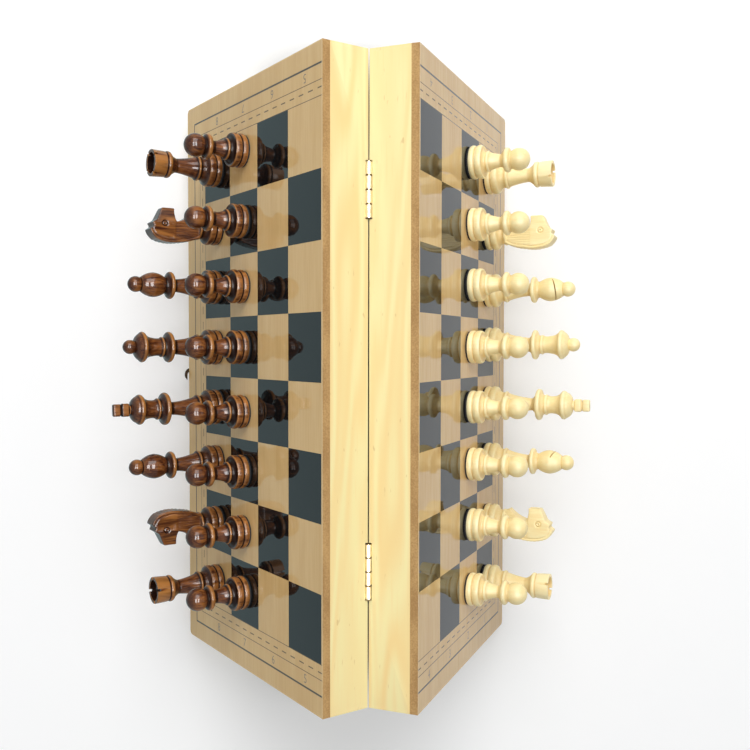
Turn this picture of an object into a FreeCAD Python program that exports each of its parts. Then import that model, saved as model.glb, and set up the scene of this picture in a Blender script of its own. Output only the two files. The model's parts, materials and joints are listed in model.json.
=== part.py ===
import FreeCAD, Part
import math
import os
from FreeCAD import Vector

# Folding magnetic chess board, standing open like a tent, with its 32 men on it.
# Millimetres, +Z up. Each half is built in its own flat frame: the hinge axis is
# the Y axis at x = 0, z = 0, the half reaches out along +X, its rim faces down at
# z = RIM_FACE and its play surface faces up at z = PLAY_SURFACE. Both halves are
# the same part: the dark half is the pale half turned half round, so that its
# hinge knuckles fall between the other's. Then both are tilted about the hinge
# and lifted until the free rims stand on z = 0.

# ------------------------------------------------------------------ board sizes
SQUARE = 30.4
BORDER = 23.4
FILES_PER_HALF = 4
RANKS = 8
PANEL_THICKNESS = 3.8
RAIL_HEIGHT = 19.4
RAIL_THICKNESS = 8.0
CORNER_RADIUS = 2.5
STEEL_THICKNESS = 0.4
LINER_THICKNESS = 0.8
FOAM_RECESS = 1.0
TENT_HALF_ANGLE = 28.2
SPINE_CLEARANCE = 0.2
RIM_CLEARANCE = 0.2

# ------------------------------------------------------------------ storage foam
POCKET_END_CLEARANCE = 2.4
OFFICER_POCKET_CLEARANCE = 2.2
PAWN_POCKET_CLEARANCE = 2.2

# ------------------------------------------------------------------ butt hinges
HINGE_OFFSET = 84.0
HINGE_LENGTH = 25.0
KNUCKLES = 4
KNUCKLE_END_GAP = 0.15
BARREL_RADIUS = 1.3
PIN_RADIUS = 0.7
PIN_CLEARANCE = 0.05
BARREL_CLEARANCE = 0.3
LEAF_MARGIN = 1.0
LEAF_THICKNESS = 0.8
LEAF_RECESS = 0.05
HINGE_SCREW_SPACING = 14.0
SCREW_HEAD_RADIUS = 1.7
SCREW_RADIUS = 0.8
SCREW_LENGTH = 7.0
SCREW_CLEARANCE = 0.05

# ------------------------------------------------------------------ swing clasp
HOOK_WIDTH = 7.3
HOOK_THICKNESS = 0.8
HOOK_GAP = 0.3
HOOK_PIVOT_HEIGHT = 7.0
HOOK_REACH = 18.4
CLASP_PLATE_THICKNESS = 0.3
CLASP_PLATE_MARGIN = 0.2
RIVET_RADIUS = 1.0
RIVET_HEAD_RADIUS = 1.9
RIVET_HEAD_HEIGHT = 0.6
RIVET_DEPTH = 6.0
RIVET_CLEARANCE = 0.08
PEG_RADIUS = 1.0
PEG_HEAD_RADIUS = 1.7
PEG_FROM_HOOK_END = 2.8
PEG_SLOT_CLEARANCE = 0.4

# ------------------------------------------------------------------ chess men
# Heights are taken from the play surface, radii from the man's own axis.
PAD_THICKNESS = 0.8
PAD_INSET = 0.5
MAGNET_THICKNESS = 3.0
MAGNET_CLEARANCE = 0.05
FOOT_RING_TOP = 3.4
FOOT_ROUND = 0.45
FOOT_GROOVE_DEPTH = 0.9
FOOT_GROOVE_WIDTH = 0.5
BELL_TOP = 7.2
BELL_ROUND = 0.5
COVE_DEPTH = 0.9
BEAD_HEIGHT = 1.5
BEAD_ROUND = 0.55
COLLAR_ROUND = 0.5
CROWN_ROUND = 0.8
CROWN_DOME = 0.9
FILLET_STEP = 0.5

PAWN = {
    "foot": 8.35, "bead": 5.3, "bead_low": 8.7, "stem": 4.5, "neck": 3.1,
    "collar": 6.1, "collar_low": 16.0, "collar_rim": 18.0, "collar_top": 20.2,
    "head": 5.5, "head_centre": 24.9, "throat": 4.4, "magnet": 4.0,
}
ROOK = {
    "foot": 8.8, "bead": 6.4, "bead_low": 10.9, "stem": 5.6, "neck": 3.5,
    "collar": 6.65, "collar_low": 22.8, "collar_rim": 26.2, "collar_top": 28.4,
    "crown": 6.7, "crown_foot": 6.4, "height": 35.6, "wall": 1.5, "recess": 3.4,
    "notch_width": 1.3, "notch_depth": 1.7, "notches": 4, "magnet": 5.0,
}
BISHOP = {
    "foot": 8.8, "bead": 6.4, "bead_low": 10.9, "stem": 5.6, "neck": 3.2,
    "collar": 6.85, "collar_low": 23.6, "collar_rim": 25.2, "collar_top": 27.2,
    "waist": 4.1, "waist_height": 29.2, "mitre": 6.15, "mitre_height": 35.2,
    "tip": 3.5, "tip_height": 41.4, "finial": 3.9, "height": 47.6,
    "slot_width": 0.6, "slot_height": 36.2, "slot_tilt": 22.0, "magnet": 5.0,
}
QUEEN = {
    "foot": 9.15, "bead": 6.6, "bead_low": 11.1, "stem": 5.8, "neck": 3.65,
    "collar": 7.75, "collar_low": 23.9, "collar_rim": 26.0, "collar_top": 28.0,
    "ring": 5.1, "ring_low": 30.0, "waist": 4.7, "waist_height": 35.6,
    "crown": 7.6, "crown_low": 39.6, "crown_top": 42.0, "throat": 1.8,
    "throat_height": 44.7, "finial": 3.5, "height": 50.3, "magnet": 5.0,
}
KING = {
    "foot": 9.15, "bead": 6.6, "bead_low": 11.1, "stem": 5.8, "neck": 3.2,
    "collar": 8.2, "collar_low": 25.8, "collar_rim": 28.2, "collar_top": 30.4,
    "ring": 5.4, "ring_low": 32.4, "waist": 4.6, "waist_height": 37.2,
    "crown": 7.5, "crown_low": 41.0, "crown_top": 43.6, "throat": 2.3,
    "throat_height": 46.8, "height": 55.6, "cross_foot": 47.6, "arm_top": 51.0,
    "notch_top": 52.2, "arm": 3.3, "top_lobe": 3.1, "notch": 2.0,
    "cross_thickness": 3.4, "magnet": 5.0,
}
KNIGHT = {
    "foot": 8.8, "bead": 6.6, "bead_low": 10.4, "thickness": 8.6,
    "muzzle_thickness": 5.6, "back": -8.6, "back_height": 21.0, "crest": -7.6,
    "crest_height": 34.0, "ear": -3.0, "height": 37.4, "ear_front": -0.6,
    "ear_front_height": 36.2, "poll": 0.5, "poll_height": 33.6, "brow": 7.2,
    "brow_height": 31.5, "muzzle": 8.1, "muzzle_top": 30.7, "muzzle_low": 23.9,
    "throat": 1.5, "throat_height": 22.0, "chest": 7.2, "chest_height": 14.4,
    "taper_start": 1.0, "eye": 0.2, "eye_height": 29.8, "eye_radius": 1.6,
    "eye_ring": 0.5, "eye_depth": 0.35, "magnet": 5.0,
}

PAWN_FILE = 2.5
OFFICER_FILE = 3.5
OFFICERS = ["rook", "knight", "bishop", "queen", "king", "bishop", "knight", "rook"]

# How far each man stands from the middle of its square along the board, from
# the queen's-side rook's end to the king's-side rook's end, as hands leave them.
PAWN_DRIFT = {
    "white": [1.6, 1.0, 1.1, 0.3, 0.4, 1.8, 1.3, -1.4],
    "black": [4.6, 0.8, -0.7, 0.0, -1.3, -0.5, 0.0, 0.0],
}
OFFICER_DRIFT = {
    "white": [-0.8, 0.0, 0.0, 1.6, 0.6, 1.0, -1.5, -4.2],
    "black": [0.0, 0.5, 0.6, 0.0, -0.6, 1.2, -0.4, -0.7],
}
# How each officer is turned about its own axis, in degrees; a knight at 0 looks
# along +Y and at 180 along -Y.
OFFICER_TURN = {
    "white": [20.0, 0.0, 210.0, 0.0, 0.0, 58.0, 0.0, 65.0],
    "black": [35.0, 0.0, 200.0, 0.0, 4.0, 160.0, 180.0, 12.0],
}

# ------------------------------------------------------------------ worked out
SIDES = {"white": 1, "black": -1}
BOARD_LENGTH = RANKS * SQUARE + 2 * BORDER
HALF_WIDTH = FILES_PER_HALF * SQUARE + BORDER
SPINE_FACE = SPINE_CLEARANCE
RIM_FACE = RIM_CLEARANCE
PANEL_UNDERSIDE = RIM_FACE + RAIL_HEIGHT
PLAY_SURFACE = PANEL_UNDERSIDE + PANEL_THICKNESS
TRAY_SPINE = SPINE_FACE + RAIL_THICKNESS
TRAY_FRONT = HALF_WIDTH - RAIL_THICKNESS
TRAY_END = BOARD_LENGTH / 2 - RAIL_THICKNESS
STEEL_UNDERSIDE = PANEL_UNDERSIDE - STEEL_THICKNESS
LINER_UNDERSIDE = STEEL_UNDERSIDE - LINER_THICKNESS
FOAM_UNDERSIDE = RIM_FACE + FOAM_RECESS
TILT = 90.0 - TENT_HALF_ANGLE
HINGE_HEIGHT = (HALF_WIDTH * math.cos(math.radians(TENT_HALF_ANGLE))
                - RIM_FACE * math.sin(math.radians(TENT_HALF_ANGLE)))
LEAF_FACE = RIM_FACE + LEAF_RECESS
LEAF_BACK = LEAF_FACE + LEAF_THICKNESS
LEAF_WIDTH = TRAY_SPINE - LEAF_MARGIN
HINGE_SCREW_FROM_AXIS = (BARREL_RADIUS + BARREL_CLEARANCE + LEAF_WIDTH) / 2
HOOK_FACE = HALF_WIDTH + CLASP_PLATE_THICKNESS + HOOK_GAP
HOOK_BACK = HOOK_FACE + HOOK_THICKNESS
PEG_REACH = HOOK_REACH - PEG_FROM_HOOK_END
PEG_HEIGHT = PEG_REACH - HOOK_PIVOT_HEIGHT
Y_AXIS = Vector(0, 1, 0)
Z_AXIS = Vector(0, 0, 1)


# ------------------------------------------------------------------ basic shapes
def block(x_low, x_high, y_low, y_high, z_low, z_high):
    """A square block between two corners."""
    corner = Vector(x_low, y_low, z_low)
    return Part.makeBox(x_high - x_low, y_high - y_low, z_high - z_low, corner)


def rod(radius, start, length, direction):
    """A round rod from a start point."""
    return Part.makeCylinder(radius, length, start, direction)


def arc_between(start, end, belly):
    """An arc whose middle stands out from its chord by belly, to its right."""
    chord = end.sub(start)
    outward = Vector(chord.z, 0, -chord.x)
    outward.normalize()
    middle = start.add(chord.multiply(0.5)).add(outward.multiply(belly))
    return Part.Arc(start, middle, end).toShape()


def outline_edges(steps):
    """Edges through steps of (across, height) or (across, height, belly)."""
    edges = []
    here = Vector(steps[0][0], 0, steps[0][1])
    for step in steps[1:]:
        there = Vector(step[0], 0, step[1])
        if len(step) == 3:
            edges.append(arc_between(here, there, step[2]))
        else:
            edges.append(Part.LineSegment(here, there).toShape())
        here = there
    return edges


def turned(steps):
    """A solid turned about Z; the steps begin and end on the axis."""
    first = Vector(steps[0][0], 0, steps[0][1])
    last = Vector(steps[-1][0], 0, steps[-1][1])
    edges = outline_edges(steps)
    edges.append(Part.LineSegment(last, first).toShape())
    return Part.Face(Part.Wire(edges)).revolve(Vector(0, 0, 0), Z_AXIS, 360)


def plate(steps, thickness):
    """A flat plate with a closed outline in the XZ plane, centred on y = 0."""
    face = Part.Face(Part.Wire(outline_edges(steps + [steps[0]])))
    solid = face.extrude(Vector(0, thickness, 0))
    solid.translate(Vector(0, -thickness / 2, 0))
    return solid


# ------------------------------------------------------------------ one half
def rounded_free_corners(solid):
    """Rounds the two upright edges at the free side of a half."""
    edges = []
    for edge in solid.Edges:
        low = edge.BoundBox
        upright = low.ZLength > low.XLength + low.YLength
        if upright and abs(low.XMax - HALF_WIDTH) < 1e-6:
            edges.append(edge)
    return solid.makeFillet(CORNER_RADIUS, edges)


def play_panel():
    """The printed board that the men stand on."""
    half_length = BOARD_LENGTH / 2
    panel = block(SPINE_FACE, HALF_WIDTH, -half_length, half_length,
                  PANEL_UNDERSIDE, PLAY_SURFACE)
    return rounded_free_corners(panel)


def steel_sheet():
    """The thin sheet under the panel that the magnets pull on."""
    return block(TRAY_SPINE, TRAY_FRONT, -TRAY_END, TRAY_END,
                 STEEL_UNDERSIDE, PANEL_UNDERSIDE)


def tray_liner():
    """The felt on the floor of the storage tray."""
    return block(TRAY_SPINE, TRAY_FRONT, -TRAY_END, TRAY_END,
                 LINER_UNDERSIDE, STEEL_UNDERSIDE)


def spine_rail():
    """The rail at the fold, cut for the hinge leaves, barrels and screws."""
    half_length = BOARD_LENGTH / 2
    rail = block(SPINE_FACE, TRAY_SPINE, -half_length, half_length,
                 RIM_FACE, PANEL_UNDERSIDE)
    for centre in hinge_centres():
        rail = rail.cut(leaf_mortise(centre))
        for screw in leaf_screws(centre, 0.0):
            rail = rail.cut(screw)
    return rail


def front_rail(side):
    """The free rail, bored for the clasp rivet or for the peg."""
    half_length = BOARD_LENGTH / 2
    rail = block(TRAY_FRONT, HALF_WIDTH, -half_length, half_length,
                 RIM_FACE, PANEL_UNDERSIDE)
    rail = rounded_free_corners(rail)
    shank = clasp_rivet(0.0) if side < 0 else catch_peg()
    return rail.cut(shank)


def end_rails():
    """The two short rails between the spine rail and the free rail."""
    half_length = BOARD_LENGTH / 2
    far = block(TRAY_SPINE, TRAY_FRONT, TRAY_END, half_length,
                RIM_FACE, PANEL_UNDERSIDE)
    near = block(TRAY_SPINE, TRAY_FRONT, -half_length, -TRAY_END,
                 RIM_FACE, PANEL_UNDERSIDE)
    return Part.makeCompound([far, near])


# ------------------------------------------------------------------ storage foam
def pocket_rows():
    """The two rows of pockets: start, end and pocket width."""
    officer_length = KING["height"] + POCKET_END_CLEARANCE
    pawn_length = PAWN["head_centre"] + PAWN["head"] + POCKET_END_CLEARANCE
    free = TRAY_FRONT - TRAY_SPINE - officer_length - pawn_length
    strip = free / 3
    officer_start = TRAY_SPINE + strip
    pawn_start = officer_start + officer_length + strip
    return [
        (officer_start, officer_start + officer_length,
         2 * KING["foot"] + OFFICER_POCKET_CLEARANCE),
        (pawn_start, pawn_start + pawn_length,
         2 * PAWN["foot"] + PAWN_POCKET_CLEARANCE),
    ]


def foam_strips():
    """Three long foam strips, beside and between the rows of pockets."""
    officers, pawns = pocket_rows()
    strips = []
    for low, high in [(TRAY_SPINE, officers[0]), (officers[1], pawns[0]),
                      (pawns[1], TRAY_FRONT)]:
        strips.append(block(low, high, -TRAY_END, TRAY_END,
                            FOAM_UNDERSIDE, LINER_UNDERSIDE))
    return Part.makeCompound(strips)


def foam_dividers():
    """The foam walls between neighbouring pockets of each row."""
    walls = []
    for low, high, width in pocket_rows():
        wall = (2 * TRAY_END - RANKS * width) / (RANKS - 1)
        for place in range(1, RANKS):
            start = -TRAY_END + place * (width + wall) - wall
            walls.append(block(low, high, start, start + wall,
                               FOAM_UNDERSIDE, LINER_UNDERSIDE))
    return Part.makeCompound(walls)


# ------------------------------------------------------------------ hinges
def hinge_centres():
    """Where the two hinges sit along the fold."""
    return [HINGE_OFFSET, -HINGE_OFFSET]


def knuckle_span(centre, number):
    """The start and end of one knuckle, counted from the hinge's +Y end."""
    pitch = HINGE_LENGTH / KNUCKLES
    top = centre + HINGE_LENGTH / 2 - number * pitch
    return top - pitch + KNUCKLE_END_GAP / 2, top - KNUCKLE_END_GAP / 2


def leaf_mortise(centre):
    """The room that one leaf and the barrel take out of the spine rail."""
    low = centre - HINGE_LENGTH / 2 - BARREL_CLEARANCE
    high = centre + HINGE_LENGTH / 2 + BARREL_CLEARANCE
    barrel = rod(BARREL_RADIUS + BARREL_CLEARANCE, Vector(0, low, 0), high - low, Y_AXIS)
    bed = block(0, LEAF_WIDTH + SCREW_CLEARANCE, low, high, 0, LEAF_BACK)
    return barrel.fuse(bed)


def leaf_screws(centre, clearance):
    """The two countersunk screws of one leaf, or their holes."""
    screws = []
    head_height = SCREW_HEAD_RADIUS - SCREW_RADIUS
    for offset in (-HINGE_SCREW_SPACING / 2, HINGE_SCREW_SPACING / 2):
        foot = Vector(HINGE_SCREW_FROM_AXIS, centre + offset, LEAF_FACE)
        head = Part.makeCone(SCREW_HEAD_RADIUS + clearance, SCREW_RADIUS + clearance,
                             head_height, foot, Z_AXIS)
        shank = rod(SCREW_RADIUS + clearance, foot, SCREW_LENGTH, Z_AXIS)
        screws.append(head.fuse(shank).removeSplitter())
    return screws


def hinge_leaf(centre):
    """One leaf with its knuckles: the first and third from the +Y end."""
    low = centre - HINGE_LENGTH / 2
    leaf = block(0, LEAF_WIDTH, low, low + HINGE_LENGTH, LEAF_FACE, LEAF_BACK)
    for number in range(KNUCKLES):
        start, end = knuckle_span(centre, number)
        if number % 2 == 0:
            knuckle = rod(BARREL_RADIUS, Vector(0, start, 0), end - start, Y_AXIS)
            leaf = leaf.fuse(knuckle)
        else:
            room = rod(BARREL_RADIUS + BARREL_CLEARANCE,
                       Vector(0, start - KNUCKLE_END_GAP, 0),
                       end - start + 2 * KNUCKLE_END_GAP, Y_AXIS)
            leaf = leaf.cut(room)
    bore = rod(PIN_RADIUS + PIN_CLEARANCE, Vector(0, low - 1, 0), HINGE_LENGTH + 2, Y_AXIS)
    leaf = leaf.cut(bore)
    for screw in leaf_screws(centre, SCREW_CLEARANCE):
        leaf = leaf.cut(screw)
    return leaf.removeSplitter()


def hinge_pins():
    """The two pins, fixed in the pale half's knuckles."""
    pins = []
    for centre in hinge_centres():
        start = Vector(0, centre - HINGE_LENGTH / 2, 0)
        pins.append(rod(PIN_RADIUS, start, HINGE_LENGTH, Y_AXIS))
    return Part.makeCompound(pins)


def hinge_screws():
    """All screws of one half's leaves."""
    screws = []
    for centre in hinge_centres():
        screws.extend(leaf_screws(centre, 0.0))
    return Part.makeCompound(screws)


# ------------------------------------------------------------------ swing clasp
def stadium(width, low, high, x_start, thickness):
    """A round-ended strip on the free edge, from height low to height high."""
    radius = width / 2
    strip = block(x_start, x_start + thickness, -radius, radius, low + radius, high - radius)
    for height in (low + radius, high - radius):
        end = rod(radius, Vector(x_start, 0, height), thickness, Vector(1, 0, 0))
        strip = strip.fuse(end)
    return strip.removeSplitter()


def clasp_hook():
    """The swinging hook, turned back over the play surface's edge."""
    radius = HOOK_WIDTH / 2
    hook = stadium(HOOK_WIDTH, HOOK_PIVOT_HEIGHT - radius, HOOK_PIVOT_HEIGHT + HOOK_REACH,
                   HOOK_FACE, HOOK_THICKNESS)
    slot_half = PEG_RADIUS + PEG_SLOT_CLEARANCE
    slot_height = HOOK_PIVOT_HEIGHT + PEG_REACH
    slot_round = rod(slot_half, Vector(HOOK_FACE - 1, 0, slot_height), HOOK_THICKNESS + 2,
                     Vector(1, 0, 0))
    slot_mouth = block(HOOK_FACE - 1, HOOK_BACK + 1, 0, radius + 1,
                       slot_height - slot_half, slot_height + slot_half)
    eye = rod(RIVET_RADIUS + RIVET_CLEARANCE, Vector(HOOK_FACE - 1, 0, HOOK_PIVOT_HEIGHT),
              HOOK_THICKNESS + 2, Vector(1, 0, 0))
    return hook.cut(slot_round).cut(slot_mouth).cut(eye)


def clasp_rivet(head_gap):
    """The rivet that the hook swings on."""
    start = Vector(HALF_WIDTH - RIVET_DEPTH, 0, HOOK_PIVOT_HEIGHT)
    head_start = HOOK_BACK + head_gap
    shank = rod(RIVET_RADIUS, start, head_start - start.x, Vector(1, 0, 0))
    head = Part.makeCone(RIVET_HEAD_RADIUS, RIVET_HEAD_RADIUS / 2, RIVET_HEAD_HEIGHT,
                         Vector(head_start, 0, HOOK_PIVOT_HEIGHT), Vector(1, 0, 0))
    return shank.fuse(head)


def clasp_plate():
    """The thin plate under the hook's pivot."""
    radius = HOOK_WIDTH / 2 + CLASP_PLATE_MARGIN
    plate_disc = rod(radius, Vector(HALF_WIDTH, 0, HOOK_PIVOT_HEIGHT),
                     CLASP_PLATE_THICKNESS, Vector(1, 0, 0))
    return plate_disc.cut(clasp_rivet(0.0))


def catch_peg():
    """The headed peg that the hook drops over when the box is shut."""
    start = Vector(HALF_WIDTH - RIVET_DEPTH, 0, PEG_HEIGHT)
    head_start = HOOK_BACK + RIVET_CLEARANCE
    shank = rod(PEG_RADIUS, start, head_start - start.x, Vector(1, 0, 0))
    head = Part.makeCone(PEG_HEAD_RADIUS, PEG_HEAD_RADIUS / 2, RIVET_HEAD_HEIGHT,
                         Vector(head_start, 0, PEG_HEIGHT), Vector(1, 0, 0))
    return shank.fuse(head)


def catch_plate():
    """The thin plate round the peg."""
    radius = HOOK_WIDTH / 2 + CLASP_PLATE_MARGIN
    plate_disc = rod(radius, Vector(HALF_WIDTH, 0, PEG_HEIGHT),
                     CLASP_PLATE_THICKNESS, Vector(1, 0, 0))
    return plate_disc.cut(catch_peg())


# ------------------------------------------------------------------ chess men
def foot_steps(man):
    """The foot ring, groove, bell and bead that every man stands on."""
    foot = man["foot"]
    return [
        (0, PAD_THICKNESS),
        (foot - FOOT_ROUND, PAD_THICKNESS),
        (foot - FOOT_ROUND, FOOT_RING_TOP, FOOT_ROUND),
        (foot - FOOT_GROOVE_DEPTH, FOOT_RING_TOP),
        (foot - FOOT_GROOVE_DEPTH, FOOT_RING_TOP + FOOT_GROOVE_WIDTH),
        (foot - BELL_ROUND, FOOT_RING_TOP + FOOT_GROOVE_WIDTH),
        (foot - BELL_ROUND, BELL_TOP, BELL_ROUND),
        (man["bead"] - BEAD_ROUND, man["bead_low"], -COVE_DEPTH),
        (man["bead"] - BEAD_ROUND, man["bead_low"] + BEAD_HEIGHT, BEAD_ROUND),
    ]


def stem_steps(man):
    """The hollow stem and the collar that tops it."""
    bead_top = man["bead_low"] + BEAD_HEIGHT
    rise = man["collar_low"] - bead_top
    hollow = (man["stem"] - man["neck"]) * rise / (2 * rise + 8 * man["stem"])
    return [
        (man["stem"], bead_top),
        (man["neck"], man["collar_low"], -hollow),
        (man["collar"] - COLLAR_ROUND, man["collar_rim"], -hollow),
        (man["collar"] - COLLAR_ROUND, man["collar_top"], COLLAR_ROUND),
    ]


def ball_steps(neck, centre, radius):
    """A ball on a neck, up to its top on the axis."""
    start = centre - math.sqrt(radius * radius - neck * neck)
    chord = math.hypot(neck, centre + radius - start)
    belly = radius - math.sqrt(radius * radius - chord * chord / 4)
    return [(neck, start), (0, centre + radius, belly)]


def pawn_body():
    """The pawn: a ball on a collared stem."""
    man = PAWN
    steps = foot_steps(man) + stem_steps(man)
    steps.append((man["throat"], man["collar_top"] + FILLET_STEP))
    steps += ball_steps(man["throat"], man["head_centre"], man["head"])
    return turned(steps)


def rook_body():
    """The rook: a hollow notched crown."""
    man = ROOK
    inside = man["crown"] - man["wall"]
    floor = man["height"] - man["recess"]
    steps = foot_steps(man) + stem_steps(man)
    steps += [
        (man["crown_foot"] - COLLAR_ROUND, man["collar_top"]),
        (man["crown_foot"] - COLLAR_ROUND, man["collar_top"] + FILLET_STEP),
        (man["crown_foot"], man["collar_top"] + FILLET_STEP),
        (man["crown"], man["height"]),
        (inside, man["height"]),
        (inside, floor),
        (0, floor),
    ]
    body = turned(steps)
    for number in range(man["notches"]):
        notch = block(0, man["foot"], -man["notch_width"] / 2, man["notch_width"] / 2,
                      man["height"] - man["notch_depth"], man["height"] + 1)
        notch.rotate(Vector(0, 0, 0), Z_AXIS, number * 360 / man["notches"])
        body = body.cut(notch)
    return body


def bishop_body():
    """The bishop: a mitre with a saw slot and a round finial."""
    man = BISHOP
    steps = foot_steps(man) + stem_steps(man)
    steps += [
        (man["waist"], man["waist_height"], -FILLET_STEP),
        (man["mitre"], man["mitre_height"], FILLET_STEP),
        (man["tip"], man["tip_height"], FILLET_STEP),
    ]
    steps += ball_steps(man["tip"] - COLLAR_ROUND, man["height"] - man["finial"],
                        man["finial"])
    body = turned(steps)
    slot = block(-man["slot_width"] / 2, man["foot"], -man["foot"], man["foot"],
                 -man["slot_width"] / 2, man["slot_width"] / 2)
    slot.rotate(Vector(0, 0, 0), Y_AXIS, -man["slot_tilt"])
    slot.translate(Vector(0, 0, man["slot_height"]))
    return body.cut(slot)


def crown_steps(man):
    """The ring, waist and flared crown that queen and king share."""
    ring_top = man["ring_low"] + BEAD_HEIGHT
    return [
        (man["ring"] - BEAD_ROUND, man["ring_low"], -FILLET_STEP),
        (man["ring"] - BEAD_ROUND, ring_top, BEAD_ROUND),
        (man["waist"], man["waist_height"], -FILLET_STEP / 2),
        (man["crown"] - CROWN_ROUND, man["crown_low"], -FILLET_STEP),
        (man["crown"] - CROWN_ROUND, man["crown_top"], CROWN_ROUND),
        (man["throat"], man["throat_height"], CROWN_DOME),
    ]


def queen_body():
    """The queen: a flared crown and a ball."""
    man = QUEEN
    steps = foot_steps(man) + stem_steps(man) + crown_steps(man)
    steps += ball_steps(man["throat"], man["height"] - man["finial"], man["finial"])
    return turned(steps)


def king_body():
    """The king: a flared crown and a square-cut cross."""
    man = KING
    steps = foot_steps(man) + stem_steps(man) + crown_steps(man)
    steps += [(man["throat"], man["cross_foot"]), (0, man["cross_foot"])]
    right = [
        (man["throat"], man["throat_height"]),
        (man["throat"], man["cross_foot"]),
        (man["arm"], man["cross_foot"] + FILLET_STEP),
        (man["arm"], man["arm_top"]),
        (man["notch"], (man["arm_top"] + man["notch_top"]) / 2),
        (man["top_lobe"], man["notch_top"]),
        (man["top_lobe"], man["height"]),
    ]
    left = [(-across, height) for across, height in reversed(right)]
    cross = plate(right + left, man["cross_thickness"])
    cross.rotate(Vector(0, 0, 0), Z_AXIS, 90)
    return turned(steps).fuse(cross).removeSplitter()


def knight_head():
    """The knight's flat-sided head and neck, looking along +X."""
    man = KNIGHT
    bead_top = man["bead_low"] + BEAD_HEIGHT
    foot = bead_top - BEAD_HEIGHT / 2
    seat = man["bead"] - FILLET_STEP
    steps = [
        (-seat, foot),
        (-seat, bead_top),
        (man["back"], man["back_height"], -FILLET_STEP),
        (man["crest"], man["crest_height"], -FILLET_STEP * 2),
        (man["ear"], man["height"], -FILLET_STEP),
        (man["ear_front"], man["ear_front_height"]),
        (man["poll"], man["poll_height"]),
        (man["brow"], man["brow_height"]),
        (man["muzzle"], man["muzzle_top"]),
        (man["muzzle"], man["muzzle_low"]),
        (man["throat"], man["throat_height"], FILLET_STEP),
        (man["chest"], man["chest_height"], FILLET_STEP * 2),
        (seat, bead_top),
        (seat, foot),
    ]
    head = plate(steps, man["thickness"])
    run = man["muzzle"] - man["taper_start"]
    drop = (man["thickness"] - man["muzzle_thickness"]) / 2
    for hand in (1, -1):
        wedge = Part.makePolygon([
            Vector(man["taper_start"], hand * man["thickness"] / 2, man["throat_height"]),
            Vector(man["taper_start"] + 2 * run, hand * man["thickness"] / 2,
                   man["throat_height"]),
            Vector(man["taper_start"] + 2 * run, hand * (man["thickness"] / 2 - 2 * drop),
                   man["throat_height"]),
            Vector(man["taper_start"], hand * man["thickness"] / 2, man["throat_height"]),
        ])
        height = man["height"] - man["throat_height"]
        head = head.cut(Part.Face(wedge).extrude(Vector(0, 0, height)))
        outer = rod(man["eye_radius"], Vector(man["eye"], 0, man["eye_height"]),
                    man["thickness"], Vector(0, hand, 0))
        inner = rod(man["eye_radius"] - man["eye_ring"],
                    Vector(man["eye"], 0, man["eye_height"]),
                    man["thickness"], Vector(0, hand, 0))
        core = block(-man["foot"], man["foot"], -man["thickness"] / 2 + man["eye_depth"],
                     man["thickness"] / 2 - man["eye_depth"], 0, man["height"])
        head = head.cut(outer.cut(inner).cut(core))
    return head


def knight_body():
    """The knight: a horse's head on the turned foot, looking along +Y."""
    man = KNIGHT
    bead_top = man["bead_low"] + BEAD_HEIGHT
    base = turned(foot_steps(man) + [(0, bead_top)])
    head = knight_head()
    head.rotate(Vector(0, 0, 0), Z_AXIS, 90)
    return base.fuse(head)


MEN = {
    "pawn": (PAWN, pawn_body), "rook": (ROOK, rook_body), "bishop": (BISHOP, bishop_body),
    "queen": (QUEEN, queen_body), "king": (KING, king_body), "knight": (KNIGHT, knight_body),
}


def chess_man(kind):
    """One man: its wooden body, the magnet let into it and the felt under it."""
    man, body_maker = MEN[kind]
    pocket = rod(man["magnet"] + MAGNET_CLEARANCE, Vector(0, 0, 0),
                 PAD_THICKNESS + MAGNET_THICKNESS, Z_AXIS)
    body = body_maker().cut(pocket)
    magnet = rod(man["magnet"], Vector(0, 0, PAD_THICKNESS), MAGNET_THICKNESS, Z_AXIS)
    pad = rod(man["foot"] - PAD_INSET, Vector(0, 0, 0), PAD_THICKNESS, Z_AXIS)
    return Part.makeCompound([body, magnet, pad])


# ------------------------------------------------------------------ placing
def stand_up(shape, side):
    """Carries a shape from a half's flat frame to the standing board."""
    placed = shape.copy()
    if side < 0:
        placed.rotate(Vector(0, 0, 0), Z_AXIS, 180)
    placed.rotate(Vector(0, 0, 0), Y_AXIS, side * TILT)
    placed.translate(Vector(0, 0, HINGE_HEIGHT))
    return placed


def stand_man(shape, side, file, rank, drift, turn):
    """Stands a man on its square; rank 0 is the one at the +Y end."""
    placed = shape.copy()
    placed.rotate(Vector(0, 0, 0), Z_AXIS, turn + (0 if side > 0 else 180))
    along = ((RANKS - 1) / 2 - rank) * SQUARE + drift
    placed.translate(Vector(file * SQUARE, side * along, PLAY_SURFACE))
    return stand_up(placed, side)


def write_node(name, shape):
    """Writes one named sub-part."""
    shape.exportStep("parts/" + name + ".step")


def write_half(colour):
    """Writes the board parts of one half."""
    side = SIDES[colour]
    parts = {
        "play_panel": play_panel(),
        "steel_sheet": steel_sheet(),
        "tray_liner": tray_liner(),
        "spine_rail": spine_rail(),
        "front_rail": front_rail(side),
        "end_rails": end_rails(),
        "foam_strips": foam_strips(),
        "foam_dividers": foam_dividers(),
        "hinge_leaf_1": hinge_leaf(side * HINGE_OFFSET),
        "hinge_leaf_2": hinge_leaf(-side * HINGE_OFFSET),
        "hinge_screws": hinge_screws(),
    }
    for name, shape in parts.items():
        write_node(colour + "_" + name, stand_up(shape, side))


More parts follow.
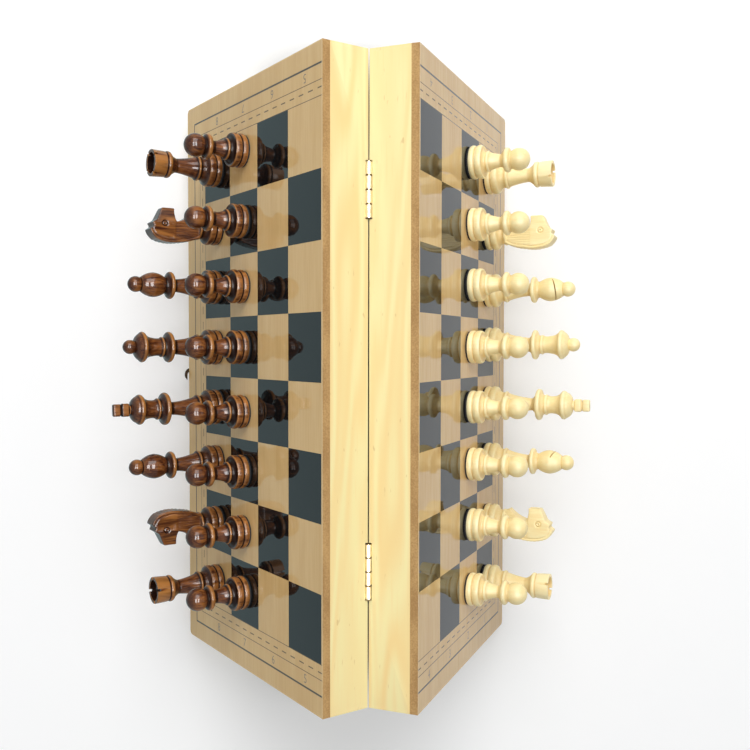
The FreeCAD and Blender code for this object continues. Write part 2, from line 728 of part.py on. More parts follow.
def write_men(colour, shapes):
    """Writes the sixteen men of one colour."""
    side = SIDES[colour]
    count = {}
    for rank, kind in enumerate(OFFICERS):
        count[kind] = count.get(kind, 0) + 1
        single = OFFICERS.count(kind) == 1
        name = colour + "_" + kind + ("" if single else "_" + str(count[kind]))
        officer = stand_man(shapes[kind], side, OFFICER_FILE, rank,
                            OFFICER_DRIFT[colour][rank], OFFICER_TURN[colour][rank])
        write_node(name, officer)
        pawn = stand_man(shapes["pawn"], side, PAWN_FILE, rank,
                         PAWN_DRIFT[colour][rank], 0.0)
        write_node(colour + "_pawn_" + str(rank + 1), pawn)


os.makedirs("parts", exist_ok=True)
for colour_name in SIDES:
    write_half(colour_name)
write_node("hinge_pins", stand_up(hinge_pins(), SIDES["white"]))
write_node("clasp_hook", stand_up(clasp_hook(), SIDES["black"]))
write_node("clasp_rivet", stand_up(clasp_rivet(RIVET_CLEARANCE), SIDES["black"]))
write_node("clasp_plate", stand_up(clasp_plate(), SIDES["black"]))
write_node("catch_peg", stand_up(catch_peg(), SIDES["white"]))
write_node("catch_plate", stand_up(catch_plate(), SIDES["white"]))
man_shapes = {kind: chess_man(kind) for kind in MEN}
for colour_name in SIDES:
    write_men(colour_name, man_shapes)
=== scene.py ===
"""A folding magnetic chess set, stood open like a tent with its thirty-two men on it.

Sizes in the dataclasses are in millimetres. MM turns them into the metres of the model.
"""

import json
import logging
import math
from abc import ABC, abstractmethod
from dataclasses import dataclass
from enum import Enum
from typing import Callable, NamedTuple

import bmesh
import bpy
from mathutils import Matrix, Vector
from mathutils.kdtree import KDTree

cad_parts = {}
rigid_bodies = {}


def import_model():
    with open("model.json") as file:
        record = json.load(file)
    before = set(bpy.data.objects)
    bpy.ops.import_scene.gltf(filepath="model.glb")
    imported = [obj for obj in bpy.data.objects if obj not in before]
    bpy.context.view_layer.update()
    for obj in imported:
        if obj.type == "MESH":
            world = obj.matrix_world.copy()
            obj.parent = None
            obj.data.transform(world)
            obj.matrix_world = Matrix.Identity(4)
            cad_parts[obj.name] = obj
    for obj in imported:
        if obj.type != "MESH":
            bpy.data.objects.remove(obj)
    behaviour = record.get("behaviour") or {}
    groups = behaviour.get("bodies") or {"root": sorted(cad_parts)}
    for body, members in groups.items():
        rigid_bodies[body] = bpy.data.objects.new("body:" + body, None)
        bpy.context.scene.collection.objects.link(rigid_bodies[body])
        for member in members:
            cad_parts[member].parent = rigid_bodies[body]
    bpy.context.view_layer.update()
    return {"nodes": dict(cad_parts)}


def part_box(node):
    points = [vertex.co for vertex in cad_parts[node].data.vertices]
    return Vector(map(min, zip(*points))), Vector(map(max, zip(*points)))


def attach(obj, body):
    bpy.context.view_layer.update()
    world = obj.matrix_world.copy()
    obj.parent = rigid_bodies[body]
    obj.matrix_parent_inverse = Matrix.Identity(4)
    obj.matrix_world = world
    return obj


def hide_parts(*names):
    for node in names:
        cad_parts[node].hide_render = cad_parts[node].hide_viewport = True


LOG = logging.getLogger("chess_set")
MM = 0.001
SHARP = 38.0

Colour = tuple[float, float, float, float]
Outline = list[tuple[float, float]]
Socket = bpy.types.NodeSocket
Lift = Callable[[float, float, float], float]
Nodes = dict[str, bpy.types.Object]
Blocks = list[tuple[Vector, Vector]]
WHITE: Colour = (1.0, 1.0, 1.0, 1.0)
FOLD_LINE = Vector((0.0, 1.0, 0.0))


# ---------------------------------------------------------------- named options
class Side(Enum):
    """The two halves, each with its name and the sign of the X direction it leans to."""

    WHITE = ("white", 1)
    BLACK = ("black", -1)

    @property
    def label(self) -> str:
        """The word that begins the names of this side's nodes."""
        return self.value[0]

    @property
    def sign(self) -> int:
        """Which way along X this half leans."""
        return self.value[1]


class Kind(Enum):
    """The six kinds of men."""

    PAWN = "pawn"
    ROOK = "rook"
    KNIGHT = "knight"
    BISHOP = "bishop"
    QUEEN = "queen"
    KING = "king"


class Grain(Enum):
    """Which way a rail's grain runs, as the index of that axis on the slope."""

    DOWN_SLOPE = 0
    ALONG_FOLD = 1


# ---------------------------------------------------------------- the slopes
@dataclass(frozen=True)
class Slope:
    """One half's flat frame: down from the fold, along the fold, and out of the play surface."""

    side: Side
    lean: float = 28.2
    surface: float = 23.4

    @property
    def down(self) -> Vector:
        """The direction from the fold to the free edge."""
        angle = math.radians(self.lean)
        return Vector((self.side.sign * math.sin(angle), 0.0, -math.cos(angle)))

    @property
    def along(self) -> Vector:
        """The direction that completes the frame, along the fold."""
        return Vector((0.0, float(self.side.sign), 0.0))

    @property
    def out(self) -> Vector:
        """The direction straight out of the play surface."""
        angle = math.radians(self.lean)
        return Vector((self.side.sign * math.cos(angle), 0.0, math.sin(angle)))

    def frame(self) -> Matrix:
        """Gives the flat frame as a matrix.

        Returns:
            The matrix that carries flat positions in metres to standing ones.
        """
        low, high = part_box("hinge_pins")
        matrix = Matrix((self.down, self.along, self.out)).transposed().to_4x4()
        matrix.translation = Vector((0.0, 0.0, (low.z + high.z) / 2))
        return matrix


# ---------------------------------------------------------------- wiring finishes
def paint(red: float, green: float, blue: float) -> Colour:
    """Turns a colour as seen, 0 to 255, into the linear colour a shader takes.

    Args:
        red: The red part.
        green: The green part.
        blue: The blue part.

    Returns:
        The linear colour with full cover.
    """
    parts = [
        (value / 255 / 12.92) if value / 255 <= 0.04045 else ((value / 255 + 0.055) / 1.055) ** 2.4
        for value in (red, green, blue)
    ]
    return (parts[0], parts[1], parts[2], 1.0)


class Wiring:
    """Lays out the nodes of one material, or of the world's light."""

    def __init__(self, name: str, owner: bpy.types.ID | None = None) -> None:
        """Starts a material.

        Args:
            name: The material's name.
            owner: What the nodes belong to, or None for a new material.
        """
        self.material = owner or bpy.data.materials.new(name)
        self.material.use_nodes = True
        self.tree = self.material.node_tree
        self.tree.nodes.clear()
        self.count = 0

    def node(self, kind: str, **settings: object) -> bpy.types.Node:
        """Adds a node.

        Args:
            kind: The node's type.
            settings: Properties to set on it.

        Returns:
            The new node.
        """
        made = self.tree.nodes.new(kind)
        made.location = (self.count % 8 * 180, -(self.count // 8) * 220)
        self.count += 1
        for name, value in settings.items():
            setattr(made, name, value)
        return made

    def feed(self, socket: Socket, value: object) -> None:
        """Links an input to a socket, or sets it to a number or colour."""
        if isinstance(value, bpy.types.NodeSocket):
            self.tree.links.new(value, socket)
        else:
            socket.default_value = value

    def math(self, operation: str, first: object, second: object = 0.0, clamp: bool = False) -> Socket:
        """Works out one value from two.

        Args:
            operation: The Math node's operation.
            first: The first value or socket.
            second: The second value or socket.
            clamp: Whether the result is held between 0 and 1.

        Returns:
            The result's socket.
        """
        made = self.node("ShaderNodeMath", operation=operation, use_clamp=clamp)
        self.feed(made.inputs[0], first)
        self.feed(made.inputs[1], second)
        return made.outputs[0]

    def times(self, first: object, second: object) -> Socket:
        """Multiplies two values."""
        return self.math("MULTIPLY", first, second)

    def plus(self, first: object, second: object) -> Socket:
        """Adds two values."""
        return self.math("ADD", first, second)

    def minus(self, first: object, second: object) -> Socket:
        """Takes the second value from the first."""
        return self.math("SUBTRACT", first, second)

    def most(self, first: Socket, second: Socket) -> Socket:
        """Gives the greater of two values."""
        return self.math("MAXIMUM", first, second)

    def size(self, value: Socket) -> Socket:
        """Gives a value without its sign."""
        return self.math("ABSOLUTE", value)

    def scaled(self, value: Socket, factor: float, base: float) -> Socket:
        """Multiplies a value by a factor and adds a base."""
        made = self.math("MULTIPLY_ADD", value, factor)
        made.node.inputs[2].default_value = base
        return made

    def blend(self, first: Socket, second: Socket, share: float) -> Socket:
        """Adds two patterns, the first by a share and the second by the rest."""
        return self.plus(self.times(first, share), self.times(second, 1 - share))

    def step(self, value: object, start: float, end: float) -> Socket:
        """Eases from 0 to 1 as a value goes from start to end.

        Args:
            value: The value's socket.
            start: Where the result is 0.
            end: Where the result is 1.

        Returns:
            The eased value's socket.
        """
        made = self.node("ShaderNodeMapRange", interpolation_type="SMOOTHSTEP")
        self.feed(made.inputs["Value"], value)
        made.inputs["From Min"].default_value = start
        made.inputs["From Max"].default_value = end
        return made.outputs["Result"]

    def mix(self, share: object, first: object, second: object) -> Socket:
        """Mixes two colours.

        Args:
            share: How much of the second shows.
            first: The first colour or socket.
            second: The second colour or socket.

        Returns:
            The colour's socket.
        """
        made = self.node("ShaderNodeMix", data_type="RGBA", blend_type="MIX")
        self.feed(made.inputs[0], share)
        self.feed(made.inputs[6], first)
        self.feed(made.inputs[7], second)
        return made.outputs[2]

    def place(self) -> Socket:
        """Gives the place on the object itself."""
        return self.node("ShaderNodeTexCoord").outputs["Object"]

    def facing(self, direction: Vector) -> Socket:
        """Gives how far the surface faces a direction fixed to the object."""
        return self.dot(self.node("ShaderNodeTexCoord").outputs["Normal"], direction)

    def dot(self, source: Socket, direction: Vector) -> Socket:
        """Measures a vector along a direction.

        Args:
            source: The vector's socket.
            direction: The direction.

        Returns:
            The length's socket.
        """
        made = self.node("ShaderNodeVectorMath", operation="DOT_PRODUCT")
        self.feed(made.inputs[0], source)
        made.inputs[1].default_value = direction
        return made.outputs["Value"]

    def attribute(self, name: str) -> Socket:
        """Gives a number stored on the mesh under a name."""
        return self.node("ShaderNodeAttribute", attribute_name=name).outputs["Fac"]

    def on_slope(self, slope: Slope) -> Socket:
        """Gives the place on a half of the board: down it, along the fold and out of it."""
        made = self.node("ShaderNodeCombineXYZ")
        for socket, direction in zip(made.inputs, (slope.down, slope.along, slope.out)):
            self.feed(socket, self.dot(self.place(), direction))
        return made.outputs[0]

    def stretched(
        self,
        factors: tuple[float, float, float],
        spread: bool = False,
        source: Socket | None = None,
    ) -> Socket:
        """Gives the place on the object, scaled apart along each axis.

        Args:
            factors: The three scales.
            spread: Whether each object also gets its own part of the pattern.
            source: The place to scale, or None for the place on the object itself.

        Returns:
            The stretched place's socket.
        """
        made = self.node("ShaderNodeMapping")
        self.feed(made.inputs["Vector"], source or self.place())
        made.inputs["Scale"].default_value = factors
        if not spread:
            return made.outputs[0]
        number = self.math("MULTIPLY", self.node("ShaderNodeObjectInfo").outputs["Random"], 37.0)
        moved = self.node("ShaderNodeVectorMath", operation="ADD")
        self.feed(moved.inputs[0], made.outputs[0])
        self.feed(moved.inputs[1], number)
        return moved.outputs[0]

    def noise(self, place: Socket, scale: float, detail: float = 3.0, twist: float = 0.0) -> Socket:
        """Adds a noise.

        Args:
            place: Where it is read.
            scale: How many lumps to the metre.
            detail: How many finer layers it has.
            twist: How far it is bent by itself.

        Returns:
            The noise's socket.
        """
        made = self.node("ShaderNodeTexNoise")
        self.feed(made.inputs["Vector"], place)
        made.inputs["Scale"].default_value = scale
        made.inputs["Detail"].default_value = detail
        made.inputs["Distortion"].default_value = twist
        return made.outputs["Fac"]

    def relief(self, height: Socket, depth: float, strength: float = 1.0) -> Socket:
        """Turns a height into a bumped normal.

        Args:
            height: The height's socket.
            depth: How deep a height of 1 is, in metres.
            strength: How strongly it shows.

        Returns:
            The normal's socket.
        """
        made = self.node("ShaderNodeBump")
        self.feed(made.inputs["Height"], height)
        made.inputs["Distance"].default_value = depth
        made.inputs["Strength"].default_value = strength
        return made.outputs[0]

    def surface(self, **inputs: object) -> bpy.types.Material:
        """Ends the material with its surface.

        Args:
            inputs: The shader's inputs, with underscores for spaces.

        Returns:
            The finished material.
        """
        shader = self.node("ShaderNodeBsdfPrincipled")
        for name, value in inputs.items():
            self.feed(shader.inputs[name.replace("_", " ")], value)
        end = self.node("ShaderNodeOutputMaterial")
        self.tree.links.new(shader.outputs[0], end.inputs["Surface"])
        return self.material


# ---------------------------------------------------------------- finishes
@dataclass(frozen=True)
class TurnedWood:
    """Lacquered wood of a turned man: flats and end grain differ in colour, ridges are lighter from wear
    and a painted highlight, and grooves darker from pooled stain and painted shade.
    """

    name: str
    face: Colour
    streak: Colour
    ridge: Colour
    groove: Colour
    end_grain: Colour
    end_share: float
    ridge_share: float
    groove_share: float
    gloss: float
    shine: float
    lacquer: float
    lacquer_gloss: float

    def material(self) -> bpy.types.Material:
        """Builds the wood.

        Returns:
            The material.
        """
        wires = Wiring(self.name)
        fine = wires.noise(wires.stretched((1.0, 1.0, 0.09), True), 1500.0, 3.0, 0.3)
        broad = wires.noise(wires.stretched((1.0, 1.0, 0.22), True), 210.0, 3.0, 1.2)
        grain = wires.plus(wires.times(fine, 0.45), wires.times(broad, 0.55))
        colour = wires.mix(wires.step(grain, 0.36, 0.66), self.streak, self.face)
        tone = wires.attribute("tone")
        uneven = wires.minus(broad, 0.5)
        # Ridges: real wear on the ridges plus a painted highlight where they would catch the light.
        worn = wires.plus(tone, wires.times(uneven, 1.1))
        ridge = wires.times(wires.step(worn, 0.05, 0.75), self.ridge_share)
        colour = wires.mix(ridge, colour, self.ridge)
        upward = wires.size(wires.facing(Vector((0.0, 0.0, 1.0))))
        cross = wires.plus(upward, wires.times(uneven, 0.7))
        cross = wires.times(wires.step(cross, 0.3, 0.95), self.end_share)
        colour = wires.mix(cross, colour, self.end_grain)
        # Grooves: pooled stain plus painted shade where light falls off in the grooves.
        groove = wires.times(wires.step(tone, -0.03, -0.55), self.groove_share)
        colour = wires.mix(groove, colour, self.groove)
        return wires.surface(
            Base_Color=colour,
            Roughness=wires.scaled(fine, 0.12, self.gloss),
            Normal=wires.relief(grain, 0.00006, 0.5),
            Specular_IOR_Level=self.shine,
            Coat_Weight=wires.scaled(groove, -0.75 * self.lacquer, self.lacquer),
            Coat_IOR=1.38,
            Coat_Roughness=self.lacquer_gloss,
        )


@dataclass(frozen=True)
class SawnPine:
    """Varnished pine with wandering yellow bands and short dark flecks."""

    name: str
    grain: Grain
    slope: Slope
    light: Colour = paint(246, 231, 168)
    band: Colour = paint(245, 215, 146)
    fleck: Colour = paint(190, 140, 76)
    draw: float = 0.085
    bands: float = 34.0

    def material(self) -> bpy.types.Material:
        """Builds the pine.

        Returns:
            The material.
        """
        wires = Wiring(self.name)
        slow = [1.0, 1.0, 1.0]
        slow[self.grain.value] = self.draw
        on_board = wires.on_slope(self.slope)
        place = wires.stretched((slow[0], slow[1], slow[2]), source=on_board)
        sway = wires.noise(place, 72.0, 1.5, 0.3)
        bands = wires.scaled(wires.math("SINE", wires.times(sway, self.bands)), 0.5, 0.5)
        broad = wires.noise(place, 16.0, 1.0)
        share = wires.times(bands, wires.step(broad, 0.28, 0.6))
        colour = wires.mix(share, self.light, self.band)
        fine_place = wires.stretched((slow[0], slow[1] * 0.5, slow[2]), source=on_board)
        fine = wires.noise(fine_place, 900.0, 2.0)
        colour = wires.mix(wires.times(wires.step(fine, 0.52, 0.75), 0.3), colour, self.band)
        speck_place = wires.stretched((slow[0], slow[1] * 3, slow[2]), source=on_board)
        specks = wires.noise(speck_place, 620.0, 1.0)
        colour = wires.mix(wires.times(wires.step(specks, 0.72, 0.80), 0.35), colour, self.fleck)
        return wires.surface(
            Base_Color=colour,
            Roughness=0.42,
            Normal=wires.relief(fine, 0.00008, 0.35),
            Coat_Weight=0.35,
            Coat_Roughness=0.2,
        )


@dataclass(frozen=True)
class PrintedBoard:
    """Squares and rules printed on a pale veneer ground under gloss lacquer, with a pale edge and painted
    highlight along the panel's rim, and raw fibreboard edges.
    """

    name: str
    slope: Slope
    square: float = 30.4
    border: float = 23.4
    dash_at: float = 0.12
    dash_pitch: float = 0.27
    dash_shift: float = 2.0
    thin_at: float = 0.225
    thick_at: float = 0.456
    thin_rule: float = 0.34
    thick_rule: float = 0.85
    fold_margin: float = 1.2
    fold_rim: float = 1.1
    rim: float = 0.6
    ground: Colour = paint(215, 181, 126)
    ground_streak: Colour = paint(207, 170, 113)
    dark: Colour = paint(13, 15, 16)
    dark_streak: Colour = paint(17, 19, 20)
    thin_ink: Colour = paint(80, 68, 48)
    thick_ink: Colour = paint(52, 54, 52)
    edge_light: Colour = paint(230, 204, 158)
    fibre: Colour = paint(196, 159, 108)
    fibre_dark: Colour = paint(168, 131, 86)

    def rule(self, wires: Wiring, distance: Socket, at: float, width: float) -> Socket:
        """Draws one rule at a distance outside the field of squares.

        Args:
            wires: The material's wiring.
            distance: The distance outside the field, in metres.
            at: Where the rule's middle is, in squares.
            width: The rule's width in millimetres.

        Returns:
            1 on the rule and 0 off it.
        """
        away = wires.size(wires.minus(distance, at * self.square * MM))
        return wires.step(away, width * MM * 0.62, width * MM * 0.38)

    def ink(self, wires: Wiring, down: Socket, along: Socket, colour: Socket) -> Socket:
        """Lays the rules round the field over the ground.

        Args:
            wires: The material's wiring.
            down: The distance from the fold, in metres.
            along: The distance along the fold, in metres.
            colour: What is under the ink.

        Returns:
            The inked colour.
        """
        field = 4 * self.square * MM
        past_end = wires.minus(wires.size(along), field)
        past_free = wires.minus(down, field)
        outside = wires.most(past_end, past_free)
        inner, outer = (self.rule(wires, outside, at, self.thin_rule) for at in (0.0, self.thin_at))
        thin = wires.most(inner, outer)
        on_end = wires.math("GREATER_THAN", past_end, past_free)
        run = wires.mix(on_end, along, down)
        pitch = self.dash_pitch * self.square * MM
        phase = wires.math("PINGPONG", wires.plus(run, self.dash_shift * MM), pitch / 2)
        dash = wires.step(phase, pitch * 0.235, pitch * 0.265)
        dashed = wires.times(dash, self.rule(wires, outside, self.dash_at, self.thin_rule * 1.6))
        thin = wires.most(thin, dashed)
        colour = wires.mix(wires.times(thin, 0.92), colour, self.thin_ink)
        thick = self.rule(wires, outside, self.thick_at, self.thick_rule)
        return wires.mix(wires.times(thick, 0.95), colour, self.thick_ink)

    def material(self) -> bpy.types.Material:
        """Builds the board's surface.

        Returns:
            The material.
        """
        wires = Wiring(self.name)
        centre = self.slope.frame().translation
        place = wires.place()
        square = self.square * MM
        down = wires.minus(wires.dot(place, self.slope.down), centre.dot(self.slope.down))
        along = wires.dot(place, FOLD_LINE)
        veneer = wires.noise(wires.stretched((1.0, 0.05, 1.0)), 900.0, 3.0)
        broad = wires.noise(wires.stretched((1.0, 0.12, 1.0)), 90.0, 2.0)
        grain = wires.blend(veneer, broad, 0.5)
        ground = wires.mix(wires.step(grain, 0.35, 0.65), self.ground_streak, self.ground)
        dark = wires.mix(wires.step(grain, 0.35, 0.65), self.dark_streak, self.dark)
        columns = wires.math("FLOOR", wires.math("DIVIDE", down, square))
        ranks = wires.math("FLOOR", wires.math("DIVIDE", along, square))
        odd = wires.plus(wires.plus(columns, ranks), 0.0 if self.slope.side.sign > 0 else 1.0)
        odd = wires.math("WRAP", odd, 2.0)
        odd.node.inputs[2].default_value = 0.0
        inside = wires.math("LESS_THAN", wires.size(along), 4 * square)
        inside = wires.times(inside, wires.math("LESS_THAN", down, 4 * square))
        inside = wires.times(inside, wires.math("GREATER_THAN", down, self.fold_margin * MM))
        dark_here = wires.times(inside, wires.math("GREATER_THAN", odd, 0.5))
        colour = wires.mix(dark_here, ground, dark)
        colour = self.ink(wires, down, along, colour)
        half = (4 * self.square + self.border) * MM
        # The rim: the pale veneer edge with a painted highlight where the rounded edge would catch the
        # light.
        rim_fold = wires.step(down, self.fold_rim * MM, self.rim * MM)
        rim_free = wires.step(down, half - self.rim * MM, half)
        rim_end = wires.step(wires.size(along), half - self.rim * MM, half)
        rim = wires.times(wires.most(wires.most(rim_fold, rim_free), rim_end), 0.75)
        colour = wires.mix(rim, colour, self.edge_light)
        mottle = wires.noise(place, 1300.0, 4.0)
        patch = wires.noise(wires.stretched((1.0, 0.3, 1.0)), 160.0, 2.0)
        mottle = wires.blend(mottle, patch, 0.5)
        fibre = wires.mix(wires.step(mottle, 0.35, 0.65), self.fibre_dark, self.fibre)
        top = wires.step(wires.facing(self.slope.out), 0.55, 0.8)
        colour = wires.mix(top, fibre, colour)
        height = wires.times(mottle, wires.minus(1.0, top))
        return wires.surface(
            Base_Color=colour,
            Roughness=wires.scaled(top, -0.4, 0.75),
            Normal=wires.relief(height, 0.00015, 0.6),
            Specular_IOR_Level=0.0,
            Coat_Weight=top,
            Coat_Roughness=0.03,
        )


@dataclass(frozen=True)
class PrintInk:
    """The brown-grey ink of the printed numbers."""

    name: str = "number_ink"
    ink: Colour = paint(78, 68, 52)
    worn: Colour = paint(112, 98, 72)

    def material(self) -> bpy.types.Material:
        """Builds the ink.

        Returns:
            The material.
        """
        wires = Wiring(self.name)
        speckle = wires.noise(wires.place(), 2600.0, 2.0)
        colour = wires.mix(wires.step(speckle, 0.4, 0.7), self.ink, self.worn)
        return wires.surface(Base_Color=colour, Roughness=0.35, Coat_Weight=1.0, Coat_Roughness=0.05)


@dataclass(frozen=True)
class FeltCloth:
    """Matted fibre with a soft pile."""

    name: str
    fibre: Colour
    shade: Colour
    sheen: float = 0.35

    def material(self) -> bpy.types.Material:
        """Builds the felt.

        Returns:
            The material.
        """
        wires = Wiring(self.name)
        pile = wires.noise(wires.place(), 3200.0, 5.0, 1.5)
        clumps = wires.noise(wires.place(), 500.0, 2.0)
        raised = wires.times(wires.step(pile, 0.3, 0.7), clumps)
        return wires.surface(
            Base_Color=wires.mix(raised, self.shade, self.fibre),
            Roughness=0.95,
            Normal=wires.relief(pile, 0.0003, 0.9),
            Sheen_Weight=self.sheen,
            Sheen_Roughness=0.5,
        )


@dataclass(frozen=True)
class FlockedFoam:
    """Dark open-cell foam with a flocked face."""

    name: str = "flocked_foam"
    cell: Colour = paint(58, 58, 62)
    pore: Colour = paint(26, 26, 29)

    def material(self) -> bpy.types.Material:
        """Builds the foam.

        Returns:
            The material.
        """
        wires = Wiring(self.name)
        cells = wires.node("ShaderNodeTexVoronoi")
        wires.feed(cells.inputs["Vector"], wires.place())
        cells.inputs["Scale"].default_value = 1700.0
        colour = wires.mix(wires.step(cells.outputs["Distance"], 0.1, 0.6), self.cell, self.pore)
        bump = wires.relief(cells.outputs["Distance"], 0.0003, 0.7)
        return wires.surface(
            Base_Color=colour, Roughness=0.97, Normal=bump, Sheen_Weight=0.3, Sheen_Roughness=0.6
        )


@dataclass(frozen=True)
class WorkedMetal:
    """Plated or rolled metal with fine lines and a little tarnish."""

    name: str
    metal: Colour
    tarnish: Colour
    gloss: float
    lines: tuple[float, float, float] = (1.0, 0.06, 1.0)
    joint: Colour = paint(120, 92, 56)
    joint_from: float = 0.0
    joint_pitch: float = 0.0

    def material(self) -> bpy.types.Material:
        """Builds the metal.

        Returns:
            The material.
        """
        wires = Wiring(self.name)
        scratches = wires.noise(wires.stretched(self.lines), 3500.0, 2.0)
        spots = wires.noise(wires.place(), 420.0, 4.0, 0.8)
        dull = wires.times(wires.step(spots, 0.5, 0.75), 0.7)
        colour = wires.mix(dull, self.metal, self.tarnish)
        if self.joint_pitch:
            along = wires.size(wires.dot(wires.place(), FOLD_LINE))
            past = wires.minus(along, self.joint_from * MM)
            off = wires.math("PINGPONG", past, self.joint_pitch * MM / 2)
            colour = wires.mix(wires.step(off, 0.0005, 0.0002), colour, self.joint)
        rough = wires.scaled(scratches, 0.14, self.gloss)
        bump = wires.relief(scratches, 0.00002, 0.4)
        return wires.surface(Base_Color=colour, Metallic=1.0, Roughness=rough, Normal=bump)


class Finishes:
    """Every finish of the set, each made once."""

    def __init__(self) -> None:
        """Builds the finishes."""
        self.pale_wood = TurnedWood(
            name="satin_pale_wood",
            face=paint(254, 238, 182),
            streak=paint(250, 227, 164),
            ridge=paint(255, 246, 202),
            groove=paint(214, 169, 100),
            end_grain=paint(244, 214, 150),
            end_share=0.3,
            ridge_share=0.5,
            groove_share=0.33,
            gloss=0.4,
            shine=0.3,
            lacquer=0.25,
            lacquer_gloss=0.25,
        ).material()
        self.dark_wood = TurnedWood(
            name="glossy_stained_wood",
            face=paint(142, 84, 40),
            streak=paint(66, 30, 15),
            ridge=paint(196, 134, 68),
            groove=paint(26, 12, 8),
            end_grain=paint(50, 21, 12),
            end_share=0.85,
            ridge_share=0.65,
            groove_share=0.92,
            gloss=0.34,
            shine=0.05,
            lacquer=1.0,
            lacquer_gloss=0.07,
        ).material()
        self.board: dict[Side, bpy.types.Material] = {}
        self.pine_long: dict[Side, bpy.types.Material] = {}
        self.pine_short: dict[Side, bpy.types.Material] = {}
        for side in Side:
            slope = Slope(side)
            self.board[side] = PrintedBoard(f"{side.label}_printed_board", slope).material()
            long_name = f"{side.label}_pine_along_the_fold"
            self.pine_long[side] = SawnPine(long_name, Grain.ALONG_FOLD, slope).material()
            short_name = f"{side.label}_pine_across_the_ends"
            self.pine_short[side] = SawnPine(short_name, Grain.DOWN_SLOPE, slope).material()
        self.ink = PrintInk().material()
        pile, shade = paint(26, 20, 19), paint(9, 7, 7)
        self.foot_felt = FeltCloth("black_foot_felt", pile, shade, 0.03).material()
        pile, shade = paint(66, 112, 78), paint(34, 66, 44)
        self.tray_felt = FeltCloth("green_tray_felt", pile, shade).material()
        self.foam = FlockedFoam().material()
        metal, tarnish = paint(190, 192, 194), paint(140, 138, 134)
        self.steel = WorkedMetal("rolled_steel", metal, tarnish, 0.38).material()
        metal, tarnish = paint(214, 214, 212), paint(150, 150, 150)
        self.magnet = WorkedMetal("plated_magnet", metal, tarnish, 0.2).material()
        self.hinge = WorkedMetal(
            name="bright_brass_plate",
            metal=paint(253, 245, 222),
            tarnish=paint(236, 212, 158),
            gloss=0.22,
            joint_from=71.5,
            joint_pitch=6.25,
        ).material()
        self.bronze = WorkedMetal("dark_bronze", paint(52, 42, 32), paint(22, 17, 14), 0.4).material()


# ---------------------------------------------------------------- making meshes
class Stop(NamedTuple):
    """One stop of an outline; belly bends the way to it outward or, below 0, inward."""

    across: float
    height: float
    belly: float = 0.0


def bent_run(start: tuple[float, float], end: Stop, spacing: float) -> Outline:
    """Divides the way to one stop into short steps.

    Args:
        start: Where the run begins.
        end: The stop it leads to.
        spacing: The length of a step.

    Returns:
        The points after the start, up to and with the end.
    """
    run, rise = end.across - start[0], end.height - start[1]
    chord = math.hypot(run, rise)
    half_turn = 2 * math.atan(2 * end.belly / chord)
    count = max(1, round(chord * max(1.0, abs(half_turn)) / spacing))
    points: Outline = []
    for number in range(1, count + 1):
        share = number / count
        if abs(half_turn) < 1e-6:
            forward, aside = share * chord, 0.0
        else:
            radius = chord / (2 * math.sin(half_turn))
            turn = half_turn * (2 * share - 1)
            forward = chord / 2 + radius * math.sin(turn)
            aside = radius * (math.cos(turn) - math.cos(half_turn))
        points.append((
            start[0] + (run * forward + rise * aside) / chord,
            start[1] + (rise * forward - run * aside) / chord,
        ))
    return points


def dense_outline(stops: list[Stop], spacing: float) -> Outline:
    """Divides a whole outline into short steps.

    Args:
        stops: The outline's stops.
        spacing: The length of a step.

    Returns:
        The outline's points.
    """
    points: Outline = [(stops[0].across, stops[0].height)]
    for stop in stops[1:]:
        points += bent_run(points[-1], stop, spacing)
    return points


def eased(points: Outline, passes: int) -> Outline:
    """Rounds an outline's corners a little, as sanding and lacquer do.

    Args:
        points: Closely spaced points.
        passes: How often each point moves towards its neighbours.

    Returns:
        The rounded outline, with the same ends.
    """
    for _ in range(passes):
        inner = [
            ((a[0] + 2 * b[0] + c[0]) / 4, (a[1] + 2 * b[1] + c[1]) / 4)
            for a, b, c in zip(points, points[1:], points[2:])
        ]
        points = [points[0], *inner, points[-1]]
    return points


def thinned(points: Outline, slack: float) -> Outline:
    """Drops points that lie on the straight line between others.

    Args:
        points: The outline.
        slack: How far a dropped point may be off that line.

    Returns:
        The points that are left.
    """
    if len(points) < 3:
        return points
    (ax, ay), (bx, by) = points[0], points[-1]
    length = math.hypot(bx - ax, by - ay) or 1e-9
    off = [abs((bx - ax) * (ay - y) - (ax - x) * (by - ay)) / length for x, y in points]
    worst = max(range(len(points)), key=off.__getitem__)
    if off[worst] <= slack:
        return [points[0], points[-1]]
    return thinned(points[: worst + 1], slack)[:-1] + thinned(points[worst:], slack)


class Tone:
    """How far each place on a turned outline stands out as a ridge or lies in a groove."""

    def __init__(self, points: Outline, spacing: float) -> None:
        """Measures an outline.

        Args:
            points: Its closely spaced points.
            spacing: The step between them.
        """
        self.values: list[float] = []
        self.tree = KDTree(len(points))
        reach = round(1.1 / spacing)
        for number, (across, height) in enumerate(points):
            near = points[max(0, number - reach): number + reach + 1]
            ahead, behind = near[-1], near[0]
            run, rise = ahead[0] - behind[0], ahead[1] - behind[1]
            length = math.hypot(run, rise) or 1e-9
            mean_x = sum(p[0] for p in near) / len(near)
            mean_y = sum(p[1] for p in near) / len(near)
            out = ((across - mean_x) * rise - (height - mean_y) * run) / length
            self.values.append(max(-1.0, min(1.0, out / 0.3)))
            self.tree.insert((across, height, 0.0), number)
        self.tree.balance()

    def at(self, across: float, height: float, cut: float) -> float:
        """Gives the tone at a place.

        Args:
            across: The distance from the axis.
            height: The height.
            cut: The tone of a place that is off the outline.

        Returns:
            From -1 in a groove to 1 on a ridge.
        """
        _, number, distance = self.tree.find((across, height, 0.0))
        return cut if distance > 0.35 else self.values[number]


